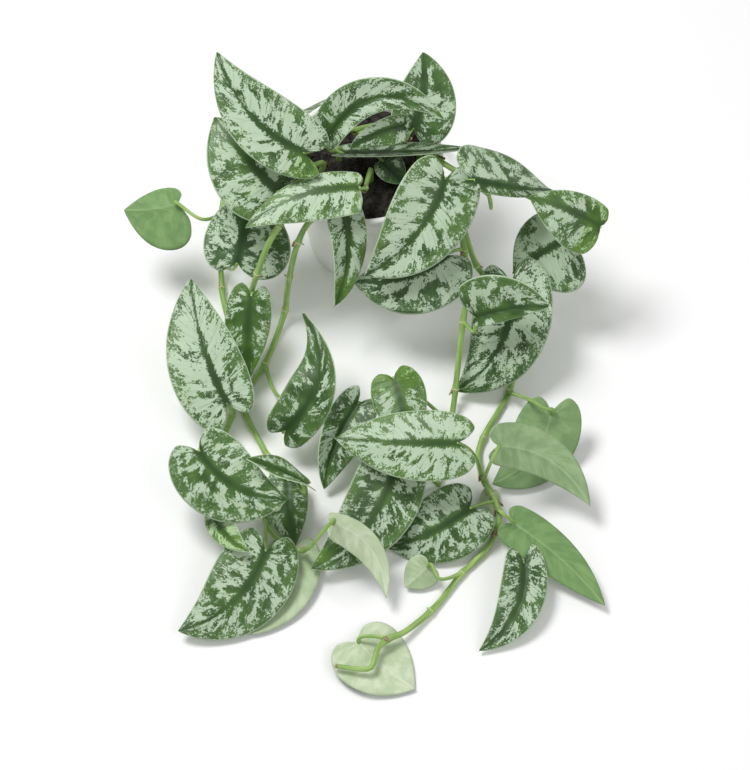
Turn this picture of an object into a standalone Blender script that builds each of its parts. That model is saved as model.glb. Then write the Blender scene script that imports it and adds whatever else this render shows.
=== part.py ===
"""Satin pothos in a small white pot. The crown stands over the rim and the vines trail forward
along the surface, their heart-shaped blades held up on petioles. Metres, +Z up, the pot's foot
centred on the origin, the vines towards -Y."""

import math
from collections import namedtuple

import bpy
import numpy as np
from mathutils import Vector

MM = 0.001
HAIR = 0.1 * MM  # a length too small to matter, used to find directions
GAP = 0.3 * MM  # left between pieces that touch

# The pot and its soil
POT_HEIGHT = 98 * MM
POT_RIM_RADIUS = 55 * MM
POT_FOOT_RADIUS = 41 * MM
POT_WALL = 2.8 * MM
POT_FLOOR = 4 * MM
RIM_BAND = 13 * MM  # height of the thicker band round the top
RIM_STEP = 2 * MM  # how far that band stands out
POT_SIDES = 36
SOIL_TOP = 88 * MM
SOIL_MOUND = 3 * MM
MOUND_WIDTH = 0.8  # of the soil's own width
SOIL_SLACK = 0.8 * MM  # the faceted soil clears the faceted wall
SOIL_SIDES = 30
HOLE_DEPTH = 24 * MM
HOLE_SIDES = 10
HOLE_CLEARANCE = 0.6 * MM
STEM_UPRIGHT = 4 * MM  # a stem's straight rise over the soil
STEM_TURN = 8 * MM  # and the height over that by which it has begun to lean
POINTS_OVER_SOIL = 2  # of a stem's route before its course begins

# The plant's own sizes
BLADE_THICKNESS = 0.75 * MM
STEM_RADIUS = 2.1 * MM
PETIOLE_RADIUS = 1.35 * MM
STEM_SIDES = 7
PETIOLE_SIDES = 5
STEM_STEP = 13 * MM  # between two rings of a stem
FINE_CUTS = 12  # a curve is measured in so many cuts a point
PETIOLE_RINGS = 6
PETIOLE_ARRIVAL = 0.34  # share of a petiole's length that is spent turning to its blade
PETIOLE_RISE = 0.12  # and how far it first rises, as a share of its length
PETIOLE_LEAVING = 0.4
ARRIVING_ALONG = 0.55  # its last direction: so much along the blade
ARRIVING_UP = 0.85  # and so much up into it
LAST_STRAIGHT = 4  # its last straight piece, in petiole radii
SHARP_EDGE = math.radians(50)

# Places are read off the picture plane of a raised front view, 750 by 770 squares of 0.7 mm,
# and given as (column, row, height over the floor in mm)
SQUARE = 0.70 * MM
MIDDLE_COLUMN = 375
MIDDLE_ROW = 385
VIEW_RAISED = math.radians(60)
VIEW_DISTANCE = 2.0
VIEW_TARGET = Vector((7 * MM, -133 * MM, 11 * MM))
VIEW_UP = Vector((0, math.sin(VIEW_RAISED), math.cos(VIEW_RAISED)))
VIEW_FORWARD = Vector((0, math.cos(VIEW_RAISED), -math.sin(VIEW_RAISED)))

# The half outline of a blade, from the sinus round the lobe to the tip: (across, along), where
# 1 across is the half width and 1 along is the length from the petiole to the tip
OUTLINE = np.array([
    (0.08, -0.056),
    (0.23, -0.115),
    (0.48, -0.155),
    (0.78, -0.085),
    (0.95, 0.060),
    (1.00, 0.230),
    (0.94, 0.420),
    (0.77, 0.610),
    (0.49, 0.790),
    (0.19, 0.930),
    (0.00, 1.000),
])
FAN_END = 0.3  # up to this share of the outline the side veins start at the petiole
VEIN_SPREAD = 1.6  # how far the other side veins start up the midrib
VEIN_DROOP = 1.2  # and how they curve toward the tip
RIPPLES = 2.3  # waves along each margin
RIPPLE_SHIFT = 0.13  # sets each leaf's waves apart from the next one's
SIDE_SHIFT = 0.3  # and the left margin's from the right one's
CALM_SHARE = 0.3  # the share of the outline over which the waves grow from nothing
LEVEL_SHARE = 0.4  # the share of the length where a twisted blade has its own roll
BLADE_ROWS = 10
BLADE_RINGS = 2

Leaf = namedtuple(
    "Leaf",
    "name base tip left right roll fold cup arch twist sweep wave lobes look",
    defaults=(0, 8, 0, 15, 0, 0.0, 0.0, 1.0, "green"),
)
# base and tip are places, left and right the half widths in mm seen from the top face with the
# tip up, roll the turn about the midrib away from the viewer in degrees, fold the rise of each
# half, cup the rise of the margin as a share of the half width, arch the midrib's bend, twist
# its turn, sweep its bow to the right as a share of the length, wave the margin's ripple, lobes
# how far the two basal lobes reach back behind the petiole, 1 being the outline's own reach
LEAVES = (
    Leaf("leaf_crown_left_large", base=(302, 152, 140), tip=(217, 52, 178), left=21, right=26,
         roll=-4, fold=6, arch=22, twist=8, sweep=-0.11, wave=0.05, look="silver"),
    Leaf("leaf_crown_left_round", base=(276, 190, 110), tip=(214, 117, 130), left=32, right=25,
         roll=8, fold=-4, arch=24, sweep=-0.03, wave=0.04),
    Leaf("leaf_far_left_small", base=(176, 204, 74), tip=(124, 210, 66), left=13, right=31,
         roll=180, fold=4, cup=0.05, arch=16, sweep=0.04, wave=0.03, look="pale"),
    Leaf("leaf_left_under", base=(237, 262, 60), tip=(253, 186, 76), left=26, right=36,
         roll=4, fold=-8, arch=20, wave=0.05, look="dark"),
    Leaf("leaf_front_long", base=(358, 187, 122), tip=(245, 228, 108), left=21, right=13,
         roll=20, fold=-8, arch=26, sweep=0.08, wave=0.04, lobes=0.25, look="silver"),
    Leaf("leaf_front_hanging", base=(343, 208, 108), tip=(334, 307, 60), left=13, right=15,
         roll=-22, fold=18, arch=24, twist=24, sweep=-0.08, wave=0.08),
    Leaf("leaf_crown_top", base=(331, 134, 136), tip=(444, 119, 154), left=17, right=11,
         roll=10, fold=12, arch=56, twist=10, sweep=-0.27, wave=0.05, lobes=0.55, look="silver"),
    Leaf("leaf_crown_small_pale", base=(404, 126, 141), tip=(350, 148, 133), left=11, right=10,
         roll=-24, arch=24, sweep=0.08, wave=0.05, lobes=0.5, look="pale"),
    Leaf("leaf_crown_right", base=(414, 127, 118), tip=(423, 52, 148), left=20, right=25,
         roll=10, fold=10, arch=18, sweep=0.06, wave=0.04),
    Leaf("leaf_crown_edge_on", base=(352, 153, 107), tip=(474, 148, 114), left=12, right=10,
         roll=-64, fold=6, cup=0.1, arch=6, sweep=0.05, look="silver"),
    Leaf("leaf_centre_right_large", base=(445, 180, 122), tip=(364, 276, 84), left=28, right=29,
         roll=-8, fold=7, arch=18, twist=6, sweep=-0.1, wave=0.04, look="silver"),
    Leaf("leaf_centre_right_under", base=(444, 256, 82), tip=(353, 281, 64), left=30, right=22,
         fold=-6, arch=22, sweep=-0.1, wave=0.03, look="dark"),
    Leaf("leaf_right_top", base=(476, 180, 140), tip=(554, 190, 98), left=38, right=8,
         roll=-28, fold=-22, arch=20, sweep=0.04, wave=0.05),
    Leaf("leaf_far_right", base=(600, 226, 98), tip=(529, 196, 122), left=25, right=15,
         roll=6, fold=-8, arch=26, sweep=0.03, wave=0.04, lobes=0.45),
    Leaf("leaf_far_right_under", base=(564, 240, 72), tip=(513, 273, 50), left=35, right=26,
         roll=6, fold=-8, arch=22, sweep=0.02, wave=0.04, look="silver"),
    Leaf("leaf_right_small_folded", base=(476, 317, 66), tip=(549, 307, 76), left=28, right=8,
         roll=14, fold=10, arch=30, sweep=-0.06, wave=0.05, lobes=0.5, look="dark"),
    Leaf("leaf_right_large_round", base=(511, 284, 56), tip=(455, 391, 8), left=30, right=27,
         roll=14, fold=-6, arch=22, sweep=-0.17, wave=0.03),
    Leaf("leaf_left_large", base=(226, 402, 32), tip=(191, 279, 62), left=29, right=24,
         roll=-6, arch=14, twist=6, sweep=-0.05, wave=0.05, look="silver"),
    Leaf("leaf_left_behind", base=(251, 297, 55), tip=(250, 378, 20), left=16, right=17,
         roll=10, fold=-6, arch=18, sweep=0.03, wave=0.04),
    Leaf("leaf_middle_curved", base=(286, 430, 30), tip=(303, 313, 62), left=19, right=17,
         roll=-24, fold=10, arch=20, twist=78, sweep=0.24, wave=0.05, lobes=0.45, look="dark"),
    Leaf("leaf_lower_left_round", base=(200, 452, 60), tip=(288, 499, 50), left=25, right=30,
         roll=6, fold=-7, arch=22, sweep=0.13, wave=0.04),
    Leaf("leaf_lower_left_small_edge_on", base=(304, 483, 48), tip=(246, 459, 74), left=13, right=13,
         roll=62, fold=12, arch=18, twist=24, wave=0.05),
    Leaf("leaf_lower_left_dull", base=(288, 482, 17), tip=(296, 546, 7), left=14, right=17,
         fold=-4, arch=10, sweep=0.04, wave=0.03, look="dark"),
    Leaf("leaf_lower_left_small_pale", base=(215, 512, 23), tip=(249, 552, 38), left=12, right=9,
         roll=10, arch=26, sweep=0.08, wave=0.07, look="pale"),
    Leaf("leaf_bottom_left_large", base=(265, 552, 27), tip=(178, 631, 10), left=28, right=27,
         fold=-7, arch=20, sweep=-0.13, wave=0.04),
    Leaf("leaf_bottom_left_behind", base=(293, 552, 9), tip=(252, 634, 4), left=20, right=21,
         roll=193, fold=2, arch=4, sweep=0.08, wave=0.03, look="pale"),
    Leaf("leaf_folded_pale", base=(333, 524, 50), tip=(386, 598, 16), left=12, right=10,
         roll=160, fold=10, arch=20, twist=-60, sweep=0.2, wave=0.04, lobes=0.3, look="pale"),
    Leaf("leaf_centre_low_large", base=(395, 466, 38), tip=(311, 569, 13), left=25, right=25,
         roll=-8, fold=6, arch=14, sweep=-0.11, wave=0.05),
    Leaf("leaf_centre_low_right", base=(469, 509, 24), tip=(388, 548, 4), left=26, right=24,
         roll=4, fold=-7, arch=14, sweep=-0.05, wave=0.05),
    Leaf("leaf_centre_across", base=(456, 443, 66), tip=(335, 438, 52), left=26, right=23,
         roll=8, fold=-7, arch=26, sweep=-0.02, wave=0.04, look="silver"),
    Leaf("leaf_centre_left_folded", base=(357, 405, 34), tip=(324, 489, 8), left=19, right=16,
         roll=-8, fold=26, arch=22, twist=16, sweep=0.07, wave=0.06),
    Leaf("leaf_centre_top", base=(394, 379, 48), tip=(406, 448, 34), left=19, right=19,
         fold=-8, arch=20, sweep=-0.04, wave=0.05),
    Leaf("leaf_right_underside_low", base=(551, 414, 30), tip=(492, 484, 9), left=22, right=24,
         roll=176, fold=6, arch=12, sweep=0.14, wave=0.03, look="pale"),
    Leaf("leaf_right_underside_front", base=(499, 446, 56), tip=(590, 506, 22), left=15, right=17,
         roll=172, arch=30, sweep=0.15, wave=0.03, lobes=0.5, look="pale"),
    Leaf("leaf_lower_right_underside", base=(513, 523, 30), tip=(605, 606, 8), left=16, right=15,
         roll=170, arch=16, sweep=0.05, wave=0.03, lobes=0.5, look="pale"),
    Leaf("leaf_lower_right_small", base=(524, 564, 20), tip=(479, 651, 4), left=16, right=16,
         roll=-6, fold=10, arch=20, twist=6, sweep=-0.14, wave=0.05),
    Leaf("leaf_low_small_pale", base=(428, 567, 12), tip=(405, 587, 5), left=12, right=12,
         roll=176, fold=4, arch=10, wave=0.03, look="pale"),
    Leaf("leaf_right_sliver", base=(490, 495, 5), tip=(489, 536, 3), left=7, right=8,
         roll=170, fold=6, arch=6, wave=0.02, look="pale"),
    Leaf("leaf_lowest_pale", base=(359, 643, 6), tip=(415, 689, 3), left=27, right=26,
         roll=156, fold=2, arch=6, sweep=-0.03, wave=0.03, look="pale"),
    Leaf("leaf_crown_inner_right", base=(384, 162, 106), tip=(404, 184, 97), left=11, right=10,
         roll=-10, fold=6, arch=16, wave=0.03, look="dark"),
    Leaf("leaf_back_middle", base=(404, 104, 38), tip=(352, 97, 8), left=18, right=19,
         roll=75, fold=6, arch=16, wave=0.04),
    Leaf("leaf_back_left", base=(350, 106, 38), tip=(294, 114, 8), left=17, right=18,
         roll=75, fold=6, arch=16, wave=0.04),
)
LOOKS = {
    "green": (0.16, 0.31, 0.13),
    "silver": (0.38, 0.50, 0.34),
    "dark": (0.07, 0.15, 0.07),
    "pale": (0.46, 0.60, 0.36),
}

# Each leafy stem: where it leaves the soil (mm from the pot's axis), its course, and for each
# leaf that it carries the place in the course, counted from 0, where the petiole starts and the
# places that the petiole passes
Stem = namedtuple("Stem", "name root course carries")
STEMS = (
    Stem("stem_left_outer", (-30, -8), (
        (290, 176, 108), (272, 176, 104), (254, 177, 94), (238, 182, 82), (224, 200, 60), (219, 240, 32),
        (221, 272, 10), (223, 298, 4), (229, 324, 3), (234, 366, 3), (233, 409, 3), (224, 436, 3), (214, 462, 3),
        (216, 488, 3), (224, 506, 4),
    ), (("leaf_crown_left_round", 0.5, ()), ("leaf_far_left_small", 4, ((219, 214, 66), (201, 219, 74))),
        ("leaf_left_under", 5.6, ()), ("leaf_left_large", 10.2, ()), ("leaf_lower_left_round", 12, ()),
        ("leaf_lower_left_small_pale", 13.9, ()))),
    Stem("stem_left_inner", (-26, -22), (
        (306, 200, 110), (290, 212, 108), (274, 234, 100), (264, 254, 88), (256, 277, 68), (248, 302, 28),
        (241, 324, 6), (246, 350, 3), (249, 372, 3),
    ), (("leaf_left_behind", 5.6, ()),)),
    Stem("stem_left_front", (-12, -32), (
        (322, 212, 105), (306, 226, 101), (295, 252, 82), (288, 286, 42), (285, 310, 14), (277, 335, 4),
        (265, 364, 3), (252, 384, 3), (243, 402, 3), (250, 424, 3), (262, 446, 3), (272, 468, 3), (270, 496, 3),
        (266, 520, 5), (276, 538, 13), (290, 549, 14), (303, 551, 16),
    ), (("leaf_middle_curved", 6, ((273, 389, 9), (284, 404, 16))),
        ("leaf_lower_left_small_edge_on", 10.5, ((290, 472, 34),)),
        ("leaf_lower_left_dull", 12, ()), ("leaf_bottom_left_large", 13, ()),
        ("leaf_bottom_left_behind", 14.9, ()), ("leaf_folded_pale", 16, ((312, 546, 42), (321, 534, 59))))),
    Stem("stem_right", (32, -24), (
        (430, 194, 110), (448, 208, 104), (460, 230, 88), (466, 262, 70), (468, 292, 62), (463, 321, 50),
        (459, 356, 34), (454, 402, 10), (450, 430, 3), (447, 458, 3), (438, 486, 3),
    ), (("leaf_centre_right_large", 0.2, ()), ("leaf_centre_right_under", 2.6, ()),
        ("leaf_right_small_folded", 5, ((474, 332, 52),)), ("leaf_centre_top", 7.8, ()),
        ("leaf_centre_left_folded", 8.4, ((400, 416, 16),)), ("leaf_centre_low_large", 9.9, ()))),
    Stem("stem_right_outer", (36, -12), (
        (446, 186, 104), (458, 206, 88), (465, 232, 72), (475, 262, 54), (487, 280, 38), (503, 304, 14),
        (514, 330, 4), (516, 360, 3), (509, 392, 3), (498, 412, 3), (485, 434, 3), (478, 456, 4), (484, 480, 12),
        (496, 502, 13), (499, 522, 12), (489, 545, 5), (472, 564, 3), (461, 574, 3), (435, 607, 3), (406, 631, 7),
        (388, 639, 11), (378, 648, 12), (375, 658, 12), (368, 669, 12), (336, 666, 12),
    ), (("leaf_right_large_round", 4.4, ()),
        ("leaf_right_underside_low", 8, ((532, 401, 42), (543, 408, 44))),
        ("leaf_right_underside_front", 12, ((490, 464, 54),)), ("leaf_centre_across", 11.8, ()),
        ("leaf_centre_low_right", 13, ()), ("leaf_right_sliver", 12.6, ()),
        ("leaf_lower_right_underside", 13.4, ((500, 511, 42),)), ("leaf_lower_right_small", 14.4, ()),
        ("leaf_low_small_pale", 17, ((440, 579, 14),)), ("leaf_lowest_pale", 20, ()))),
    Stem("stem_far_right", (38, 4), (
        (458, 172, 104), (478, 178, 98), (500, 186, 92), (524, 194, 86), (544, 206, 78), (556, 222, 66),
    ), (("leaf_right_top", 1.4, ((491, 208, 100), (488, 195, 124))), ("leaf_far_right", 4.4, ()),
        ("leaf_far_right_under", 4.9, ()))),
    Stem("stem_crown_left", (-18, 4), ((330, 150, 108), (326, 142, 118)),
         (("leaf_crown_left_large", 0.9, ()), ("leaf_crown_edge_on", -0.5, ()))),
    Stem("stem_crown_top", (0, 18), ((356, 134, 112), (354, 130, 120)),
         (("leaf_crown_top", 0.9, ()), ("leaf_crown_small_pale", 0.8, ()), ("leaf_crown_inner_right", -0.9, ()))),
    Stem("stem_crown_right", (24, 16), ((404, 141, 110), (407, 137, 116)),
         (("leaf_crown_right", 0.9, ()),)),
    Stem("stem_crown_front", (4, -14), ((366, 186, 108), (366, 188, 114)),
         (("leaf_front_long", 0.9, ()), ("leaf_front_hanging", 0.5, ()))),
    Stem("stem_back", (30, 24), (
        (428, 118, 112), (437, 120, 100), (442, 128, 74), (442, 134, 44), (436, 138, 16), (424, 134, 4),
        (400, 130, 3), (370, 128, 3), (345, 130, 3),
    ), (("leaf_back_middle", 6, ()), ("leaf_back_left", 7.6, ()))),
)


def clear_scene():
    for thing in list(bpy.data.objects):
        bpy.data.objects.remove(thing)


def material(name, colour, roughness):
    made = bpy.data.materials.new(name)
    made.use_nodes = True
    shader = made.node_tree.nodes["Principled BSDF"]
    shader.inputs["Base Color"].default_value = (*colour, 1)
    shader.inputs["Roughness"].default_value = roughness
    shader.inputs["Metallic"].default_value = 0
    return made


def add_object(name, points, faces, look):
    mesh = bpy.data.meshes.new(name)
    mesh.from_pydata([tuple(point) for point in points], [], faces)
    mesh.validate()
    mesh.materials.append(look)
    made = bpy.data.objects.new(name, mesh)
    bpy.context.scene.collection.objects.link(made)
    shade_round(mesh)
    return made


def shade_round(mesh):
    mesh.shade_smooth()
    mesh.set_sharp_from_angle(angle=SHARP_EDGE)


def place(spot):
    """The point seen at this column and row of the picture plane, at this height."""
    column, row, height = spot
    across = Vector((1, 0, 0)) * (column - MIDDLE_COLUMN) * SQUARE
    up = VIEW_UP * (MIDDLE_ROW - row) * SQUARE
    eye = VIEW_TARGET - VIEW_FORWARD * VIEW_DISTANCE
    ray = VIEW_TARGET + across + up - eye
    return eye + ray * ((height * MM - eye.z) / ray.z)


def smooth_through(points, share):
    """A point of the smooth curve through the points, at a share of their number, 0 to 1."""
    last = len(points) - 1
    where = min(max(share, 0.0), 1.0) * last
    first = min(int(where), last - 1)
    t = where - first
    a = points[max(first - 1, 0)]
    b = points[first]
    c = points[first + 1]
    d = points[min(first + 2, last)]
    square = 2 * a - 5 * b + 4 * c - d
    cube = 3 * b - a - 3 * c + d
    return 0.5 * (2 * b + (c - a) * t + square * t ** 2 + cube * t ** 3)


def even_points(points, step):
    """The smooth curve through the points, cut into even steps of about this length."""
    cuts = FINE_CUTS * len(points)
    fine = [smooth_through(points, i / cuts) for i in range(cuts + 1)]
    run = [0.0]
    for before, after in zip(fine, fine[1:]):
        run.append(run[-1] + (after - before).length)
    count = max(2, round(run[-1] / step))
    made = []
    for i in range(count + 1):
        wanted = run[-1] * i / count
        at = min(int(np.searchsorted(run, wanted, side="right")) - 1, len(fine) - 2)
        share = (wanted - run[at]) / max(run[at + 1] - run[at], 1e-9)
        made.append(fine[at].lerp(fine[at + 1], min(share, 1.0)))
    return made


def tube(path, radius, sides, end_radius=None):
    """Points and faces of a closed tube round the path, tapering to end_radius."""
    end_radius = radius if end_radius is None else end_radius
    across = (path[1] - path[0]).orthogonal().normalized()
    points = []
    faces = []
    last = len(path) - 1
    for i, centre in enumerate(path):
        along = (path[min(i + 1, last)] - path[max(i - 1, 0)]).normalized()
        across = (across - along * across.dot(along)).normalized()
        beside = along.cross(across)
        size = radius + (end_radius - radius) * i / last
        for k in range(sides):
            turn = 2 * math.pi * k / sides
            points.append(centre + (across * math.cos(turn) + beside * math.sin(turn)) * size)
    for i in range(last):
        for k in range(sides):
            after = (k + 1) % sides
            faces.append((i * sides + k, i * sides + after, (i + 1) * sides + after, (i + 1) * sides + k))
    faces.append(tuple(reversed(range(sides))))
    faces.append(tuple(last * sides + k for k in range(sides)))
    return points, faces


def turned(profile, sides):
    """Points and faces of a closed turned body. The profile runs from the axis below to the axis above."""
    points = [Vector((0, 0, profile[0][1]))]
    for radius, height in profile[1:-1]:
        for k in range(sides):
            turn = 2 * math.pi * k / sides
            points.append(Vector((radius * math.cos(turn), radius * math.sin(turn), height)))
    points.append(Vector((0, 0, profile[-1][1])))
    top = len(points) - 1
    faces = []
    for k in range(sides):
        after = (k + 1) % sides
        faces.append((0, 1 + after, 1 + k))
        for i in range(len(profile) - 3):
            low = 1 + i * sides
            high = low + sides
            faces.append((low + k, low + after, high + after, high + k))
        high = 1 + (len(profile) - 3) * sides
        faces.append((high + k, high + after, top))
    return points, faces


def flat_point(share, ring):
    """A point of the flat half blade: share goes round the outline, ring from midrib to margin."""
    across, along = smooth_through(OUTLINE, share)
    start = max(share - FAN_END, 0) / (1 - FAN_END)
    start = start ** VEIN_SPREAD
    return across * ring, start + (along - start) * ring ** VEIN_DROOP


class Frame:
    """A blade's place in space: where its base is, and which way its length and its top face look."""

    def __init__(self, leaf):
        self.leaf = leaf
        self.base = place(leaf.base)
        tip = place(leaf.tip)
        self.chord = (tip - self.base).length
        self.along = (tip - self.base).normalized()
        eye = VIEW_TARGET - VIEW_FORWARD * VIEW_DISTANCE
        to_eye = eye - (tip + self.base) / 2
        facing = (to_eye - self.along * to_eye.dot(self.along)).normalized()
        roll = math.radians(leaf.roll)
        self.up = facing * math.cos(roll) + self.along.cross(facing) * math.sin(roll)
        self.right = self.along.cross(self.up)

    def world(self, x, y, z):
        return self.base + self.right * x + self.along * y + self.up * z

    def point(self, side, share, ring):
        """The blade's middle surface. side is -1 for the left half and 1 for the right one."""
        leaf = self.leaf
        across, along = flat_point(share, ring)
        along *= leaf.lobes if along < 0 else 1
        half = (leaf.right if side > 0 else leaf.left) * MM
        fold = math.radians(leaf.fold)
        distance = across * half
        ripple = math.sin(2 * math.pi * (RIPPLES * share + RIPPLE_SHIFT * leaf.base[0] + SIDE_SHIFT * side))
        ripple *= leaf.wave * ring ** 3 * min(1, share / CALM_SHARE)
        rise = distance * math.sin(fold) + half * (leaf.cup * across ** 2 + ripple)
        return self.bent(side * distance * math.cos(fold), along, rise)

    def bent(self, x, along, z):
        """A flat point carried onto the arched, swept and twisted midrib."""
        leaf = self.leaf
        arch = math.radians(leaf.arch) or 1e-4
        length = self.chord * (arch / 2) / math.sin(arch / 2)
        pitch = arch / 2 - arch * along
        y = length / arch * (math.sin(arch / 2) - math.sin(pitch))
        height = length / arch * (math.cos(pitch) - math.cos(arch / 2))
        yaw = math.atan(4 * leaf.sweep * (1 - 2 * along))
        turn = math.radians(leaf.twist) * (along - LEVEL_SHARE)
        side = leaf.sweep * length * 4 * along * (1 - along)
        right = Vector((math.cos(yaw), -math.sin(yaw) * math.cos(pitch), -math.sin(yaw) * math.sin(pitch)))
        up = Vector((0, -math.sin(pitch), math.cos(pitch)))
        across = right * math.cos(turn) + up * math.sin(turn)
        over = up * math.cos(turn) - right * math.sin(turn)
        spot = Vector((side, y, height)) + across * x + over * z
        return self.world(*spot)


def blade_surface(leaf, rows, rings):
    """Points and triangles of the blade's middle surface, its sinus open, wound to face its top."""
    frame = Frame(leaf)
    points = []
    index = {}

    def number(key, side, share, ring):
        if key not in index:
            index[key] = len(points)
            points.append(frame.point(side, share, ring))
        return index[key]

    def corner(side, row, ring):
        share = row / rows
        if row == rows:
            return number("tip", side, 1, 1)
        if ring == 0:
            return number("base" if share <= FAN_END + 1e-6 else ("rib", row), side, share, 0)
        return number((side, row, ring), side, share, ring / rings)

    triangles = []
    for side in (-1, 1):
        for row in range(rows):
            for ring in range(rings):
                a = corner(side, row, ring)
                b = corner(side, row, ring + 1)
                c = corner(side, row + 1, ring + 1)
                d = corner(side, row + 1, ring)
                for three in ((a, b, c), (a, c, d)):
                    if len(set(three)) == 3:
                        triangles.append(three if side > 0 else three[::-1])
    return points, triangles


def thickened(points, triangles, thickness):
    """A closed body of this thickness round the surface, both faces with the same diagonals."""
    normals = [Vector((0, 0, 0)) for _ in points]
    edges = set()
    for a, b, c in triangles:
        normal = (points[b] - points[a]).cross(points[c] - points[a])
        for corner in (a, b, c):
            normals[corner] += normal
        for edge in ((a, b), (b, c), (c, a)):
            edges.add(edge)
    count = len(points)
    half = [normal.normalized() * thickness / 2 for normal in normals]
    body = [point + lift for point, lift in zip(points, half)]
    body += [point - lift for point, lift in zip(points, half)]
    faces = list(triangles) + [(c + count, b + count, a + count) for a, b, c in triangles]
    for a, b in sorted(edges):
        if (b, a) not in edges:
            faces.append((b, a, a + count))
            faces.append((b, a + count, b + count))
    return body, faces


def add_leaf(leaf, look):
    points, triangles = blade_surface(leaf, BLADE_ROWS, BLADE_RINGS)
    add_object(leaf.name, *thickened(points, triangles, BLADE_THICKNESS), look)


def stem_course(stem):
    """The stem's foot in its hole in the soil, and its smooth route from just over the soil."""
    x, y = stem.root
    low = Vector((x * MM, y * MM, SOIL_TOP - HOLE_DEPTH + GAP))
    clear_of_soil = Vector((x * MM, y * MM, SOIL_TOP + SOIL_MOUND + STEM_UPRIGHT))
    leaning = clear_of_soil + Vector((0, 0, STEM_TURN))
    return low, [clear_of_soil, leaning] + [place(spot) for spot in stem.course]


def petiole_path(leaf, start, passes):
    """From the stem, by the places that it passes, to just under the blade's base from behind and below."""
    frame = Frame(leaf)
    normal = (frame.bent(0, 0, HAIR) - frame.bent(0, 0, 0)).normalized()
    along = (frame.bent(0, HAIR / frame.chord, 0) - frame.bent(0, 0, 0)).normalized()
    arriving = (along * ARRIVING_ALONG + normal * ARRIVING_UP).normalized()
    lean = math.sqrt(max(0.0, 1 - arriving.dot(normal) ** 2))
    clear = BLADE_THICKNESS / 2 + GAP + PETIOLE_RADIUS * lean
    end = frame.base - normal * clear - along * PETIOLE_RADIUS * 0.6
    reach = (end - start).length
    before = end - arriving * reach * PETIOLE_ARRIVAL
    before.z = max(before.z, PETIOLE_RADIUS + GAP)
    if passes:
        route = [start] + [place(spot) for spot in passes] + [end - arriving * PETIOLE_RADIUS * LAST_STRAIGHT, end]
        return even_points(route, (end - start).length / PETIOLE_RINGS)
    leaving = start + (before - start) * PETIOLE_LEAVING + Vector((0, 0, PETIOLE_RISE * reach))
    curve = []
    for i in range(PETIOLE_RINGS + 1):
        t = i / PETIOLE_RINGS
        s = 1 - t
        curve.append(start * s ** 3 + leaving * 3 * s * s * t + before * 3 * s * t * t + end * t ** 3)
    return curve


def add_stem(stem, look):
    """One body: the stem, and every petiole that grows from it sunk to its middle."""
    low, route = stem_course(stem)
    by_name = {leaf.name: leaf for leaf in LEAVES}
    path = [low] + even_points(route, STEM_STEP)
    whole = add_object(stem.name, *tube(path, STEM_RADIUS, STEM_SIDES), look)
    grown = bpy.data.collections.new(stem.name + "_petioles")
    bpy.context.scene.collection.children.link(grown)
    for name, place_in_course, passes in stem.carries:
        start = smooth_through(route, (place_in_course + POINTS_OVER_SOIL) / (len(route) - 1))
        body = tube(petiole_path(by_name[name], start, passes), PETIOLE_RADIUS, PETIOLE_SIDES)
        petiole = add_object("petiole_" + name, *body, look)
        bpy.context.scene.collection.objects.unlink(petiole)
        grown.objects.link(petiole)
    unite(whole, grown)


def unite(whole, others):
    """Joins the collection's bodies to the whole and removes them."""
    union = whole.modifiers.new("union", "BOOLEAN")
    union.operation = "UNION"
    union.operand_type = "COLLECTION"
    union.collection = others
    union.solver = "MANIFOLD"
    bake(whole)
    for thing in list(others.objects):
        bpy.data.objects.remove(thing)
    bpy.data.collections.remove(others)


def bake(thing):
    """Applies the object's modifiers."""
    bpy.context.view_layer.update()
    seen = thing.evaluated_get(bpy.context.evaluated_depsgraph_get())
    mesh = bpy.data.meshes.new_from_object(seen)
    thing.modifiers.clear()
    thing.data = mesh
    shade_round(mesh)


def pot_inner_radius(height):
    """The pot's inside radius at a height over the floor."""
    share = (height - POT_FLOOR) / (POT_HEIGHT - POT_FLOOR)
    return POT_FOOT_RADIUS - POT_WALL + (POT_RIM_RADIUS - RIM_STEP - POT_FOOT_RADIUS) * share


def add_pot(look):
    band = POT_HEIGHT - RIM_BAND
    wall_at_band = POT_FOOT_RADIUS + (POT_RIM_RADIUS - RIM_STEP - POT_FOOT_RADIUS) * band / POT_HEIGHT
    profile = (
        (0, 0),
        (POT_FOOT_RADIUS - 2 * MM, 0),
        (POT_FOOT_RADIUS, 2 * MM),
        (wall_at_band, band),
        (wall_at_band + RIM_STEP, band + RIM_STEP),
        (POT_RIM_RADIUS, POT_HEIGHT - MM),
        (POT_RIM_RADIUS - MM, POT_HEIGHT),
        (pot_inner_radius(POT_HEIGHT) + MM, POT_HEIGHT),
        (pot_inner_radius(POT_HEIGHT), POT_HEIGHT - MM),
        (pot_inner_radius(POT_FLOOR), POT_FLOOR),
        (0, POT_FLOOR),
    )
    add_object("pot", *turned(profile, POT_SIDES), look)


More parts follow.
